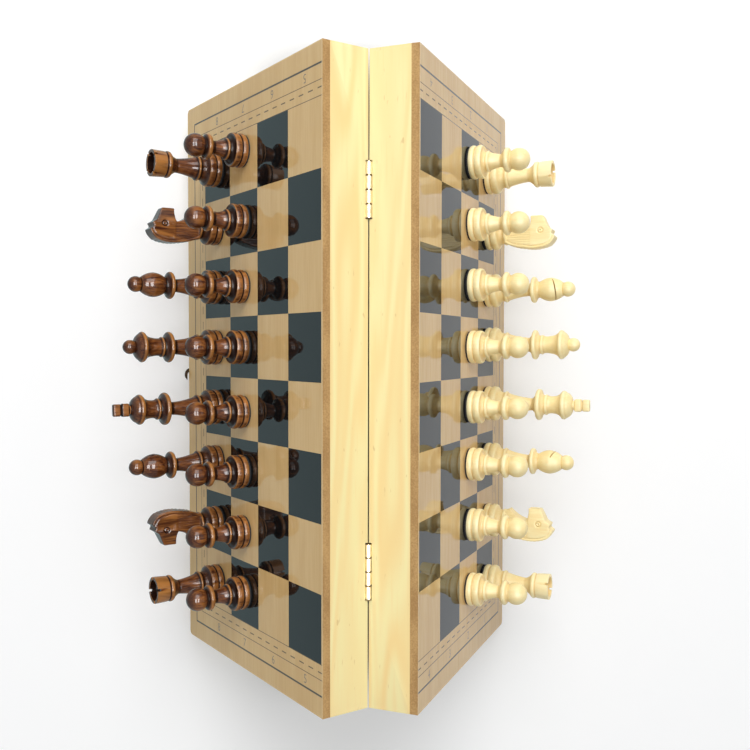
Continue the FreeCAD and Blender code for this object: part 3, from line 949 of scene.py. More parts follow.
def revolve(points: Outline, angles: list[float], lift: Lift) -> bmesh.types.BMesh:
    """Turns an outline about Z.

    Args:
        points: The outline; its ends may lie on the axis.
        angles: Where its copies stand, in degrees.
        lift: Gives a point's height from its distance, height and angle.

    Returns:
        The turned mesh, in millimetres.
    """
    mesh = bmesh.new()
    rings = []
    for across, height in points:
        if across < 1e-4:
            rings.append([mesh.verts.new((0.0, 0.0, height))] * len(angles))
            continue
        ring = []
        for angle in angles:
            turn = math.radians(angle)
            spot = (across * math.cos(turn), across * math.sin(turn), lift(across, height, angle))
            ring.append(mesh.verts.new(spot))
        rings.append(ring)
    for below, above in zip(rings, rings[1:]):
        for number in range(len(angles)):
            after = (number + 1) % len(angles)
            corners = []
            for vert in (below[number], below[after], above[after], above[number]):
                if vert not in corners:
                    corners.append(vert)
            if len(corners) > 2:
                mesh.faces.new(corners)
    return mesh


def prism(points: Outline, thickness: float) -> bmesh.types.BMesh:
    """Cuts a flat plate from an outline in XZ, centred on y = 0.

    Args:
        points: The closed outline, without its first point again.
        thickness: The plate's thickness.

    Returns:
        The plate, in millimetres.
    """
    mesh = bmesh.new()
    ring = [mesh.verts.new((across, -thickness / 2, height)) for across, height in points]
    face = mesh.faces.new(ring)
    pushed = bmesh.ops.extrude_face_region(mesh, geom=[face])["geom"]
    moved = [part for part in pushed if isinstance(part, bmesh.types.BMVert)]
    bmesh.ops.translate(mesh, vec=(0.0, thickness, 0.0), verts=moved)
    bmesh.ops.recalc_face_normals(mesh, faces=mesh.faces)
    return mesh


def rounded_block(mesh: bmesh.types.BMesh, low: Vector, high: Vector, radius: float, crown: float) -> None:
    """Adds a soft-edged block whose broad faces swell a little.

    Args:
        mesh: The mesh that it is added to.
        low: Its lowest corner.
        high: Its highest corner.
        radius: The rounding of its edges.
        crown: How far its edges stay back from its faces.
    """
    made = bmesh.ops.create_cube(mesh, size=1.0)["verts"]
    size = high - low
    for vert in made:
        vert.co = Vector([low[i] + (vert.co[i] + 0.5) * size[i] for i in range(3)])
    edges = list({edge for vert in made for edge in vert.link_edges})
    limit = min(radius, min(size) * 0.45)
    rounded = bmesh.ops.bevel(mesh, geom=edges, offset=limit, segments=3, profile=0.5, affect="EDGES")
    middle = (low + high) / 2
    for vert in {v for face in rounded["faces"] for v in face.verts}:
        vert.co = vert.co + (middle - vert.co).normalized() * crown


def to_mesh(mesh: bmesh.types.BMesh, name: str, scale: float = MM) -> bpy.types.Mesh:
    """Finishes a mesh: joins, smooths and scales it.

    Args:
        mesh: The mesh as built.
        name: Its name.
        scale: The factor to metres.

    Returns:
        The mesh data.
    """
    bmesh.ops.remove_doubles(mesh, verts=mesh.verts, dist=1e-5 / scale * MM)
    bmesh.ops.dissolve_degenerate(mesh, edges=mesh.edges, dist=1e-6)
    bmesh.ops.recalc_face_normals(mesh, faces=mesh.faces)
    bmesh.ops.scale(mesh, vec=(scale, scale, scale), verts=mesh.verts)
    for face in mesh.faces:
        face.smooth = True
    data = bpy.data.meshes.new(name)
    mesh.to_mesh(data)
    mesh.free()
    data.set_sharp_from_angle(angle=math.radians(SHARP))
    return data


def piece(data: bpy.types.ID, name: str, materials: list[bpy.types.Material]) -> bpy.types.Object:
    """Puts a mesh in the scene.

    Args:
        data: The mesh or curve.
        name: The piece's name.
        materials: Its finishes, in the order of its material numbers.

    Returns:
        The new object.
    """
    made = bpy.data.objects.new(name, data)
    bpy.context.scene.collection.objects.link(made)
    if not data.materials:
        for material in materials:
            data.materials.append(material)
    return made


def settled(made: bpy.types.Object, name: str) -> bpy.types.Mesh:
    """Takes a piece's mesh with its modifiers worked in, and drops the piece.

    Args:
        made: The piece.
        name: The new mesh's name.

    Returns:
        The mesh.
    """
    bpy.context.view_layer.update()
    graph = bpy.context.evaluated_depsgraph_get()
    data = bpy.data.meshes.new_from_object(made.evaluated_get(graph))
    data.name = name
    bpy.data.objects.remove(made)
    return data


def crowned_foot(top: bmesh.types.BMesh, foot: bpy.types.Mesh, sharp: float) -> bpy.types.Mesh:
    """Turns a carved top to face its way and joins it to the turned foot.

    Args:
        top: The carved top, in millimetres.
        foot: The turned mesh, which takes the result.
        sharp: The angle from which an edge stays sharp, in degrees.

    Returns:
        The whole mesh.
    """
    turn = Matrix.Rotation(math.radians(90), 4, "Z")
    bmesh.ops.transform(top, matrix=Matrix.Scale(MM, 4) @ turn, verts=top.verts)
    top.from_mesh(foot)
    for face in top.faces:
        face.smooth = True
    top.to_mesh(foot)
    top.free()
    foot.set_sharp_from_angle(angle=math.radians(sharp))
    return foot


def join_body(made: bpy.types.Object, body: str, replaced: str = "") -> None:
    """Lets a piece ride on a body and in place of a CAD part if one is named.

    Args:
        made: The piece.
        body: The body that it rides on.
        replaced: The CAD part that it stands for.
    """
    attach(made, body)
    if replaced:
        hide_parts(replaced)


def dress(node: bpy.types.Object, material: bpy.types.Material, ease: float = 0.0) -> None:
    """Gives a CAD part its finish.

    Args:
        node: The CAD part.
        material: Its finish.
        ease: How far its sharp edges are rounded, in millimetres.
    """
    for number in range(max(1, len(node.material_slots))):
        if number < len(node.material_slots):
            node.material_slots[number].material = material
        else:
            node.data.materials.append(material)
    if ease:
        joined = node.modifiers.new("joined", "WELD")
        joined.merge_threshold = 1e-6
        softened = node.modifiers.new("eased", "BEVEL")
        softened.width = ease * MM
        softened.segments = 2
        softened.limit_method = "ANGLE"
        softened.angle_limit = math.radians(40)
        softened.harden_normals = False
        softened.use_clamp_overlap = True


# ---------------------------------------------------------------- the men
@dataclass(frozen=True)
class Man(ABC):
    """What every man shares: the foot ring, bell, bead, hollow stem and collar."""

    foot: float = 8.8
    bead: float = 6.4
    bead_low: float = 10.9
    stem: float = 5.6
    neck: float = 3.5
    collar: float = 6.65
    collar_low: float = 22.8
    collar_rim: float = 26.2
    collar_top: float = 28.4
    magnet: float = 5.0
    pad: float = 0.8
    pad_inset: float = 0.5
    pad_low: float = 0.02
    magnet_height: float = 3.0
    ring_round: float = 0.45
    bell_round: float = 0.5
    bead_round: float = 0.55
    collar_round: float = 0.5
    ring_top: float = 3.4
    groove_depth: float = 0.9
    groove_width: float = 0.5
    bell_top: float = 7.2
    bead_height: float = 1.5
    # Tone of places off the turned outline, such as the faces of the bishop's saw cut; below 0 it paints
    # shade into the cut.
    cut_tone: float = -0.6
    spacing: float = 0.1
    sides: int = 56

    def foot_stops(self) -> list[Stop]:
        """Gives the outline from the pad up to the bead."""
        return [
            Stop(0.0, self.pad),
            Stop(self.foot - self.ring_round, self.pad),
            Stop(self.foot - self.ring_round, self.ring_top, self.ring_round),
            Stop(self.foot - self.groove_depth, self.ring_top),
            Stop(self.foot - self.groove_depth, self.ring_top + self.groove_width),
            Stop(self.foot - self.bell_round, self.ring_top + self.groove_width),
            Stop(self.foot - self.bell_round, self.bell_top, self.bell_round),
            Stop(self.bead - self.bead_round, self.bead_low, -0.9),
            Stop(self.bead - self.bead_round, self.bead_low + self.bead_height, self.bead_round),
        ]

    def stem_stops(self) -> list[Stop]:
        """Gives the outline from the bead up to the collar's top."""
        bead_top = self.bead_low + self.bead_height
        rise = self.collar_low - bead_top
        hollow = (self.stem - self.neck) * rise / (2 * rise + 8 * self.stem)
        return [
            Stop(self.stem, bead_top),
            Stop(self.neck, self.collar_low, -hollow),
            Stop(self.collar - self.collar_round, self.collar_rim, -hollow),
            Stop(self.collar - self.collar_round, self.collar_top, self.collar_round),
        ]

    @staticmethod
    def ball_stops(neck: float, centre: float, radius: float) -> list[Stop]:
        """Gives the outline of a ball on a neck.

        Args:
            neck: The neck's radius.
            centre: The height of the ball's middle.
            radius: The ball's radius.

        Returns:
            The stops up to the ball's top.
        """
        start = centre - math.sqrt(radius * radius - neck * neck)
        chord = math.hypot(neck, centre + radius - start)
        rest = math.sqrt(max(0.0, radius * radius - chord * chord / 4))
        bulge = radius + rest if centre > (start + centre + radius) / 2 and neck < 1e-3 else radius - rest
        return [Stop(neck, start), Stop(0.0, centre + radius, bulge)]

    @abstractmethod
    def head_stops(self) -> list[Stop]:
        """Gives the outline above the collar."""

    def angles(self) -> list[float]:
        """Gives where the turned outline's copies stand."""
        return [360 * number / self.sides for number in range(self.sides)]

    def lift(self, across: float, height: float, angle: float) -> float:
        """Gives a turned point's height; a plain man keeps it."""
        return height

    def carve(self, data: bpy.types.Mesh) -> bpy.types.Mesh:
        """Works on the turned mesh; a plain man needs nothing."""
        return data

    def stops(self) -> list[Stop]:
        """Gives the whole outline."""
        return self.foot_stops() + self.stem_stops() + self.head_stops()

    def body(self, name: str) -> bpy.types.Mesh:
        """Builds the wooden body.

        Args:
            name: The mesh's name.

        Returns:
            The mesh, standing on its square's middle.
        """
        dense = eased(dense_outline(self.stops(), self.spacing), 3)
        tone = Tone(dense, self.spacing)
        turned = revolve(thinned(dense, 0.008), self.angles(), self.lift)
        data = self.carve(to_mesh(turned, name))
        values = [0.0] * len(data.vertices)
        store = data.attributes.get("tone")
        if store is None:
            store = data.attributes.new("tone", "FLOAT", "POINT")
        else:
            store.data.foreach_get("value", values)
        for number, vert in enumerate(data.vertices):
            if not self.carved(vert.co.z / MM, values[number]):
                across = math.hypot(vert.co.x, vert.co.y) / MM
                values[number] = self.shade(tone, across, vert.co.z / MM)
        store.data.foreach_set("value", values)
        return data

    def carved(self, height: float, tone: float) -> bool:
        """Tells whether a place keeps the tone that carving gave it; a plain man has none."""
        return False

    def shade(self, tone: Tone, across: float, height: float) -> float:
        """Gives the tone of a place on the turned body."""
        return tone.at(across, height, self.cut_tone)

    def puck(self, name: str, stops: list[Stop]) -> bpy.types.Mesh:
        """Turns one of the discs in the foot from its outline."""
        outline = thinned(dense_outline(stops, 0.1), 0.01)
        return to_mesh(revolve(outline, self.angles(), self.lift), name)

    def felt(self, name: str) -> bpy.types.Mesh:
        """Builds the felt under the foot, with a soft lip.

        Args:
            name: The mesh's name.

        Returns:
            The mesh.
        """
        radius = self.foot - self.pad_inset
        stops = [
            Stop(0.0, self.pad_low),
            Stop(radius - 0.3, self.pad_low),
            Stop(radius, 0.25, 0.1),
            Stop(radius, self.pad - 0.12, 0.05),
            Stop(radius - 0.15, self.pad, 0.04),
            Stop(0.0, self.pad),
        ]
        return self.puck(name, stops)

    def disc(self, name: str) -> bpy.types.Mesh:
        """Builds the magnet, with its pressed edges.

        Args:
            name: The mesh's name.

        Returns:
            The mesh.
        """
        top = self.pad + self.magnet_height
        stops = [
            Stop(0.0, self.pad + self.pad_low),
            Stop(self.magnet - 0.3, self.pad + self.pad_low),
            Stop(self.magnet, self.pad + 0.3, 0.08),
            Stop(self.magnet, top - 0.3),
            Stop(self.magnet - 0.3, top, 0.08),
            Stop(0.0, top),
        ]
        return self.puck(name, stops)


@dataclass(frozen=True)
class Pawn(Man):
    """A ball on a collared stem."""

    foot: float = 8.35
    bead: float = 5.3
    bead_low: float = 8.7
    stem: float = 4.5
    neck: float = 3.1
    collar: float = 6.1
    collar_low: float = 16.0
    collar_rim: float = 18.0
    collar_top: float = 20.2
    magnet: float = 4.0
    head: float = 5.5
    head_centre: float = 24.9
    throat: float = 4.4

    def head_stops(self) -> list[Stop]:
        """Gives the ball."""
        low = Stop(self.throat, self.collar_top + 0.5)
        return [low, *self.ball_stops(self.throat, self.head_centre, self.head)]


@dataclass(frozen=True)
class Rook(Man):
    """A hollow crown with four notches."""

    crown: float = 6.7
    crown_foot: float = 6.4
    height: float = 35.6
    wall: float = 1.5
    recess: float = 3.4
    notch_width: float = 1.1
    notch_depth: float = 1.5
    notches: int = 4

    def head_stops(self) -> list[Stop]:
        """Gives the crown and its recess."""
        inside = self.crown - self.wall
        floor = self.height - self.recess
        return [
            Stop(self.crown_foot - 0.5, self.collar_top),
            Stop(self.crown_foot - 0.5, self.collar_top + 0.5),
            Stop(self.crown_foot, self.collar_top + 0.5),
            Stop(self.crown, self.height),
            Stop(inside, self.height),
            Stop(inside, floor),
            Stop(0.0, floor - 0.3, 0.05),
        ]

    def half_notch(self) -> float:
        """Gives half a notch's width as an angle in degrees."""
        return math.degrees(math.atan(self.notch_width / 2 / (self.crown - self.wall / 2)))

    def angles(self) -> list[float]:
        """Gives the even angles, and a close pair at each side of each notch."""
        half = self.half_notch()
        even = super().angles()
        marks = []
        for number in range(self.notches):
            middle = 360 * number / self.notches
            marks += [middle - half - 0.5, middle - half, middle, middle + half, middle + half + 0.5]
            even = [a for a in even if abs((a - middle + 180) % 360 - 180) > half + 1.5]
        return sorted((mark % 360) for mark in even + marks)

    def lift(self, across: float, height: float, angle: float) -> float:
        """Lowers the wall inside a notch.

        Args:
            across: The distance from the axis.
            height: The height before cutting.
            angle: The angle in degrees.

        Returns:
            The height after cutting.
        """
        pitch = 360 / self.notches
        off = abs((angle + pitch / 2) % pitch - pitch / 2)
        floor = self.height - self.notch_depth
        if off > self.half_notch() + 0.1 or height < floor or across < self.crown - self.wall - 0.4:
            return height
        return floor

    def shade(self, tone: Tone, across: float, height: float) -> float:
        """Gives the tone of a place: painted shade inside the hollow crown, and a capped ridge tone on the
        crown's flank.
        """
        hollow = across < self.crown - self.wall + 0.05 and height > self.height - self.recess - 0.5
        # Inside the hollow crown: the darkest tone, painted shade in the recess.
        if hollow and height < self.height - 0.2:
            return -1.0
        found = super().shade(tone, across, height)
        return min(found, 0.2) if self.collar_top + 2 < height < self.height - 0.6 else found


@dataclass(frozen=True)
class Bishop(Man):
    """A mitre with a slanting saw cut and a round finial."""

    neck: float = 3.2
    collar: float = 6.85
    collar_low: float = 23.6
    collar_rim: float = 25.2
    collar_top: float = 27.2
    waist: float = 4.1
    waist_height: float = 29.2
    mitre: float = 6.15
    mitre_height: float = 35.2
    tip: float = 3.5
    tip_height: float = 41.4
    finial: float = 3.9
    height: float = 47.6
    slot_width: float = 0.6
    slot_height: float = 36.2
    slot_tilt: float = 22.0

    def head_stops(self) -> list[Stop]:
        """Gives the mitre and finial."""
        return [
            Stop(self.waist, self.waist_height, -0.5),
            Stop(self.mitre, self.mitre_height, 0.5),
            Stop(self.tip, self.tip_height, 0.5),
            *self.ball_stops(self.tip - 0.5, self.height - self.finial, self.finial),
        ]

    def carve(self, data: bpy.types.Mesh) -> bpy.types.Mesh:
        """Saws the slot.

        Args:
            data: The turned mesh.

        Returns:
            The slotted mesh.
        """
        saw = bmesh.new()
        rounded_block(
            saw,
            Vector((-self.slot_width / 2, -self.foot, -self.slot_width / 2)),
            Vector((self.foot, self.foot, self.slot_width / 2)),
            0.12,
            0.0,
        )
        tilt = Matrix.Rotation(math.radians(-self.slot_tilt), 4, "Y")
        place = Matrix.Translation((0.0, 0.0, self.slot_height)) @ tilt
        bmesh.ops.transform(saw, matrix=place, verts=saw.verts)
        cutter = piece(to_mesh(saw, "saw_cut"), "saw_cut", [])
        made = piece(data, "sawn_mitre", [])
        cut = made.modifiers.new("saw", "BOOLEAN")
        cut.operation = "DIFFERENCE"
        cut.solver = "EXACT"
        cut.object = cutter
        sawn = settled(made, data.name)
        bpy.data.objects.remove(cutter)
        for polygon in sawn.polygons:
            polygon.use_smooth = True
        sawn.set_sharp_from_angle(angle=math.radians(SHARP))
        return sawn


@dataclass(frozen=True)
class Crowned(Man):
    """What queen and king share: the ring, waist and flared crown."""

    foot: float = 9.15
    bead: float = 6.6
    bead_low: float = 11.1
    stem: float = 5.8
    ring: float = 5.1
    ring_low: float = 30.0
    waist: float = 4.7
    waist_height: float = 35.6
    crown: float = 7.6
    crown_low: float = 39.6
    crown_top: float = 42.0
    crown_round: float = 0.8
    crown_dome: float = 0.9
    throat: float = 1.8
    throat_height: float = 44.7

    def crown_stops(self) -> list[Stop]:
        """Gives the outline from the ring to the throat above the crown."""
        return [
            Stop(self.ring - self.bead_round, self.ring_low, -0.5),
            Stop(self.ring - self.bead_round, self.ring_low + self.bead_height, self.bead_round),
            Stop(self.waist, self.waist_height, -0.25),
            Stop(self.crown - self.crown_round, self.crown_low, -0.5),
            Stop(self.crown - self.crown_round, self.crown_top, self.crown_round),
            Stop(self.throat, self.throat_height, self.crown_dome),
        ]


@dataclass(frozen=True)
class Queen(Crowned):
    """A flared crown with a ball on it."""

    neck: float = 3.65
    collar: float = 7.75
    collar_low: float = 23.9
    collar_rim: float = 26.0
    collar_top: float = 28.0
    finial: float = 3.5
    height: float = 50.3

    def head_stops(self) -> list[Stop]:
        """Gives the crown and ball."""
        return self.crown_stops() + self.ball_stops(self.throat, self.height - self.finial, self.finial)


@dataclass(frozen=True)
class King(Crowned):
    """A flared crown with a square-cut cross on it."""

    neck: float = 3.2
    collar: float = 8.2
    collar_low: float = 25.8
    collar_rim: float = 28.2
    collar_top: float = 30.4
    ring: float = 5.4
    ring_low: float = 32.4
    waist: float = 4.6
    waist_height: float = 37.2
    crown: float = 7.5
    crown_low: float = 41.0
    crown_top: float = 43.6
    throat: float = 2.3
    throat_height: float = 46.8
    height: float = 55.6
    cross_foot: float = 47.6
    arm_top: float = 51.0
    notch_top: float = 52.2
    arm: float = 3.3
    top_lobe: float = 3.1
    notch: float = 2.0
    cross_thickness: float = 3.4
    lobe_reach: float = 0.45
    lobe_round: float = 0.75
    notch_round: float = 0.3
    cut_tone: float = 0.3
    # Tone of the painted shade in the crease between the cross's lobes.
    gap_tone: float = -0.7

    def head_stops(self) -> list[Stop]:
        """Gives the crown up to the cross."""
        return [*self.crown_stops(), Stop(self.throat, self.cross_foot), Stop(0.0, self.cross_foot)]

    def carve(self, data: bpy.types.Mesh) -> bpy.types.Mesh:
        """Sets the cross on the crown.

        Args:
            data: The turned mesh.

        Returns:
            The mesh with its cross.
        """
        half = self.cross_thickness / 2
        lobes = (
            (self.arm, half, self.cross_foot, self.arm_top + self.lobe_reach, self.lobe_round),
            (self.top_lobe, half, self.notch_top - self.lobe_reach, self.height, self.lobe_round),
            (self.notch, half - 0.5, self.arm_top - 0.1, self.notch_top + 0.1, self.notch_round),
        )
        cross = bmesh.new()
        for reach, depth, low, high, radius in lobes:
            rounded_block(cross, Vector((-reach, -depth, low)), Vector((reach, depth, high)), radius, 0.08)
        return crowned_foot(cross, data, SHARP)

    def shade(self, tone: Tone, across: float, height: float) -> float:
        """Gives the tone of a place, with painted shade in the crease between the cross's lobes."""
        if self.arm_top - 0.15 < height < self.notch_top + 0.15:
            return self.gap_tone
        return super().shade(tone, across, height)


@dataclass(frozen=True)
class Knight(Man):
    """A horse's head, flat-sided and carved, on the turned foot."""

    bead: float = 6.6
    bead_low: float = 10.4
    thickness: float = 8.6
    muzzle_thickness: float = 5.6
    back: float = -8.6
    back_height: float = 21.0
    crest: float = -7.6
    crest_height: float = 34.0
    ear: float = -3.0
    height: float = 37.4
    ear_gap: float = -1.5
    ear_gap_height: float = 35.3
    ear_front: float = 0.3
    ear_front_height: float = 36.2
    poll: float = 1.9
    poll_height: float = 33.7
    brow: float = 7.2
    brow_height: float = 31.3
    muzzle: float = 8.1
    muzzle_top: float = 30.7
    muzzle_low: float = 24.4
    throat: float = 1.5
    throat_height: float = 23.6
    chest: float = 7.2
    chest_height: float = 14.4
    taper_start: float = 1.0
    eye: float = 0.2
    eye_height: float = 29.8
    eye_radius: float = 1.6
    cell: float = 0.34
    carving_sharp: float = 48.0
    mane_inset: float = 1.35
    mane_depth: float = 0.4
    mane_step: float = 0.28
    mane_every: int = 4
    mane_from: int = 5
    mane_to: int = 44
    eye_ring_depth: float = 0.55
    pupil_depth: float = 0.45

    def head_stops(self) -> list[Stop]:
        """Gives nothing: the head isn't turned."""
        return []

    def stops(self) -> list[Stop]:
        """Gives the turned foot."""
        return [*self.foot_stops(), Stop(0.0, self.bead_low + self.bead_height)]

    def mane_line(self) -> Outline:
        """Gives the back edge from the shoulder over the crest to the ear."""
        seat = self.bead - 0.5
        return dense_outline(
            [
                Stop(-seat, self.bead_low + self.bead_height),
                Stop(self.back, self.back_height, -0.5),
                Stop(self.crest, self.crest_height, -1.0),
                Stop(self.ear, self.height, -0.5),
            ],
            0.5,
        )

    def head_outline(self) -> Outline:
        """Gives the closed outline of head and neck, with steps cut in the mane's edge."""
        seat = self.bead - 0.5
        start = (-seat, self.bead_low + self.bead_height / 2)
        mane = []
        for number, (across, height) in enumerate(self.mane_line()):
            last = number % self.mane_every == self.mane_every - 1
            cut = self.mane_step if last and self.mane_from < number < self.mane_to else 0.0
            mane.append((across + cut, height))
        front = dense_outline(
            [
                Stop(mane[-1][0], mane[-1][1]),
                Stop(self.ear_gap, self.ear_gap_height),
                Stop(self.ear_front, self.ear_front_height),
                Stop(self.poll, self.poll_height),
                Stop(self.brow, self.brow_height),
                Stop(self.muzzle, self.muzzle_top),
                Stop(self.muzzle, self.muzzle_low),
                Stop(self.throat, self.throat_height, 0.5),
                Stop(self.chest, self.chest_height, 1.0),
                Stop(seat, self.bead_low + self.bead_height),
                Stop(seat, start[1]),
            ],
            0.6,
        )
        return [start, *mane, *front[1:]]

    def cut_depth(self, x: float, z: float, mane: KDTree) -> float:
        """Gives how deep the carving goes at a place on the side.

        Args:
            x: How far forward, in millimetres.
            z: The height.
            mane: The points of the mane's edge.

        Returns:
            The depth below the flat side.
        """

        def ease(value: float, start: float, end: float) -> float:
            """Eases from 0 at start to 1 at end."""
            share = max(0.0, min(1.0, (value - start) / (end - start)))
            return share * share * (3 - 2 * share)

        edge = mane.find((x, z, 0.0))[2]
        depth = self.mane_depth * (1 - ease(abs(edge - self.mane_inset), 0.1, 0.42))
        eye = math.hypot(x - self.eye, z - self.eye_height)
        depth += self.eye_ring_depth * (1 - ease(abs(eye - self.eye_radius + 0.25), 0.12, 0.42))
        depth += self.pupil_depth * (1 - ease(eye, 0.3, 0.65))
        if edge > 1.6:
            neck = 1 - ease(z, self.throat_height + 0.3, self.throat_height + 1.0)
            depth += neck * (0.14 + 0.14 * math.sin(x * 5.2 + 0.5 * math.sin(z * 0.9)))
        return depth

    def carve(self, data: bpy.types.Mesh) -> bpy.types.Mesh:
        """Carves the head and sets it on the foot.

        Args:
            data: The turned foot.

        Returns:
            The whole knight.
        """
        plate = to_mesh(prism(self.head_outline(), self.thickness), "horse_block", 1.0)
        block = piece(plate, "horse_block", [])
        fine = block.modifiers.new("fine", "REMESH")
        fine.mode = "VOXEL"
        fine.voxel_size = self.cell
        fine.adaptivity = 0.0
        head = bmesh.new()
        head.from_mesh(settled(block, "horse_head"))
        mane = KDTree(len(self.mane_line()))
        for number, (across, height) in enumerate(self.mane_line()):
            mane.insert((across, height, 0.0), number)
        mane.balance()
        tone = head.verts.layers.float.new("tone")
        axes = {"use_axis_x": True, "use_axis_y": True, "use_axis_z": True}
        for _ in range(2):
            bmesh.ops.smooth_vert(head, verts=head.verts, factor=0.5, **axes)
        for vert in head.verts:
            x, y, z = vert.co
            hand = 1.0 if y > 0 else -1.0
            share = min(1.0, abs(y) / (self.thickness / 2))
            run = max(0.0, (x - self.taper_start) / (self.muzzle - self.taper_start))
            taper = 1 - run * (1 - self.muzzle_thickness / self.thickness)
            depth = self.cut_depth(x, z, mane) if z > self.bead_low + self.bead_height else 0.0
            vert.co.y = hand * (share * self.thickness / 2 * taper - depth * share * share)
            # Deeper carving gets a darker tone: painted shade in the mane groove, eye ring, pupil and neck
            # cuts; flat sides keep a slight positive tone.
            vert[tone] = 0.25 - 1.5 * depth * share * share
        bmesh.ops.smooth_vert(head, verts=head.verts, factor=0.3, **axes)
        return crowned_foot(head, data, self.carving_sharp)

    def carved(self, height: float, tone: float) -> bool:
        """Tells whether a place keeps its carved tone, as the head does."""
        return height > self.bead_low + self.bead_height or tone != 0.0


PATTERNS: dict[Kind, Man] = {
    Kind.PAWN: Pawn(),
    Kind.ROOK: Rook(),
    Kind.KNIGHT: Knight(),
    Kind.BISHOP: Bishop(),
    Kind.QUEEN: Queen(),
    Kind.KING: King(),
}


@dataclass(frozen=True)
class Standing:
    """One man on the board: its kind, node and how far it is turned on its square."""

    kind: Kind
    node: str
    turn: float = 0.0


@dataclass(frozen=True)
class Army:
    """The sixteen men of one side."""

    side: Side
    turns: tuple[float, ...]
    sole_slack: float = 0.05
    order: tuple[Kind, ...] = (
        Kind.ROOK, Kind.KNIGHT, Kind.BISHOP, Kind.QUEEN,
        Kind.KING, Kind.BISHOP, Kind.KNIGHT, Kind.ROOK,
    )

    def standings(self) -> list[Standing]:
        """Names the sixteen men.

        Returns:
            The officers from the +Y end, then the pawns.
        """
        found = []
        seen: dict[Kind, int] = {}
        for kind, turn in zip(self.order, self.turns):
            seen[kind] = seen.get(kind, 0) + 1
            number = "" if self.order.count(kind) == 1 else f"_{seen[kind]}"
            found.append(Standing(kind, f"{self.side.label}_{kind.value}{number}", turn))
        found += [Standing(Kind.PAWN, f"{self.side.label}_pawn_{number}") for number in range(1, 9)]
        return found

    def stand(self, node: bpy.types.Object, turn: float) -> Matrix:
        """Finds where a man stands from its CAD part.

        Args:
            node: The CAD part.
            turn: The man's turn about its own axis, in degrees.

        Returns:
            The matrix that carries the man from its own frame to its square.
        """
        slope = Slope(self.side)
        flat = slope.frame().inverted()
        places = [flat @ vert.co for vert in node.data.vertices]
        low = min(place.z for place in places)
        sole = [place for place in places if place.z < low + self.sole_slack * MM]
        middle = [(min(p[i] for p in sole) + max(p[i] for p in sole)) / 2 for i in range(2)]
        centre = Vector((*middle, low))
        whole = turn if self.side is Side.WHITE else turn + 180
        return slope.frame() @ Matrix.Translation(centre) @ Matrix.Rotation(math.radians(whole), 4, "Z")

    def build(self, nodes: Nodes, finishes: Finishes) -> None:
        """Builds the men, each riding on its own body in place of its CAD part.

        Args:
            nodes: The CAD parts by name.
            finishes: The set's finishes.
        """
        wood = finishes.pale_wood if self.side is Side.WHITE else finishes.dark_wood
        meshes = {}
        for kind in Kind:
            label = f"{self.side.label}_{kind.value}"
            meshes[kind] = (
                ("turned", PATTERNS[kind].body(f"{label}_wood"), wood),
                ("felt", PATTERNS[kind].felt(f"{label}_felt"), finishes.foot_felt),
                ("magnet", PATTERNS[kind].disc(f"{label}_magnet"), finishes.magnet),
            )
        for man in self.standings():
            matrix = self.stand(nodes[man.node], man.turn)
            for part, mesh, finish in meshes[man.kind]:
                made = piece(mesh, f"{man.node}_{part}", [finish])
                made.matrix_world = matrix
                join_body(made, man.node, man.node if part == "turned" else "")
        LOG.info("%s men: %d pieces", self.side.label, 3 * len(self.standings()))


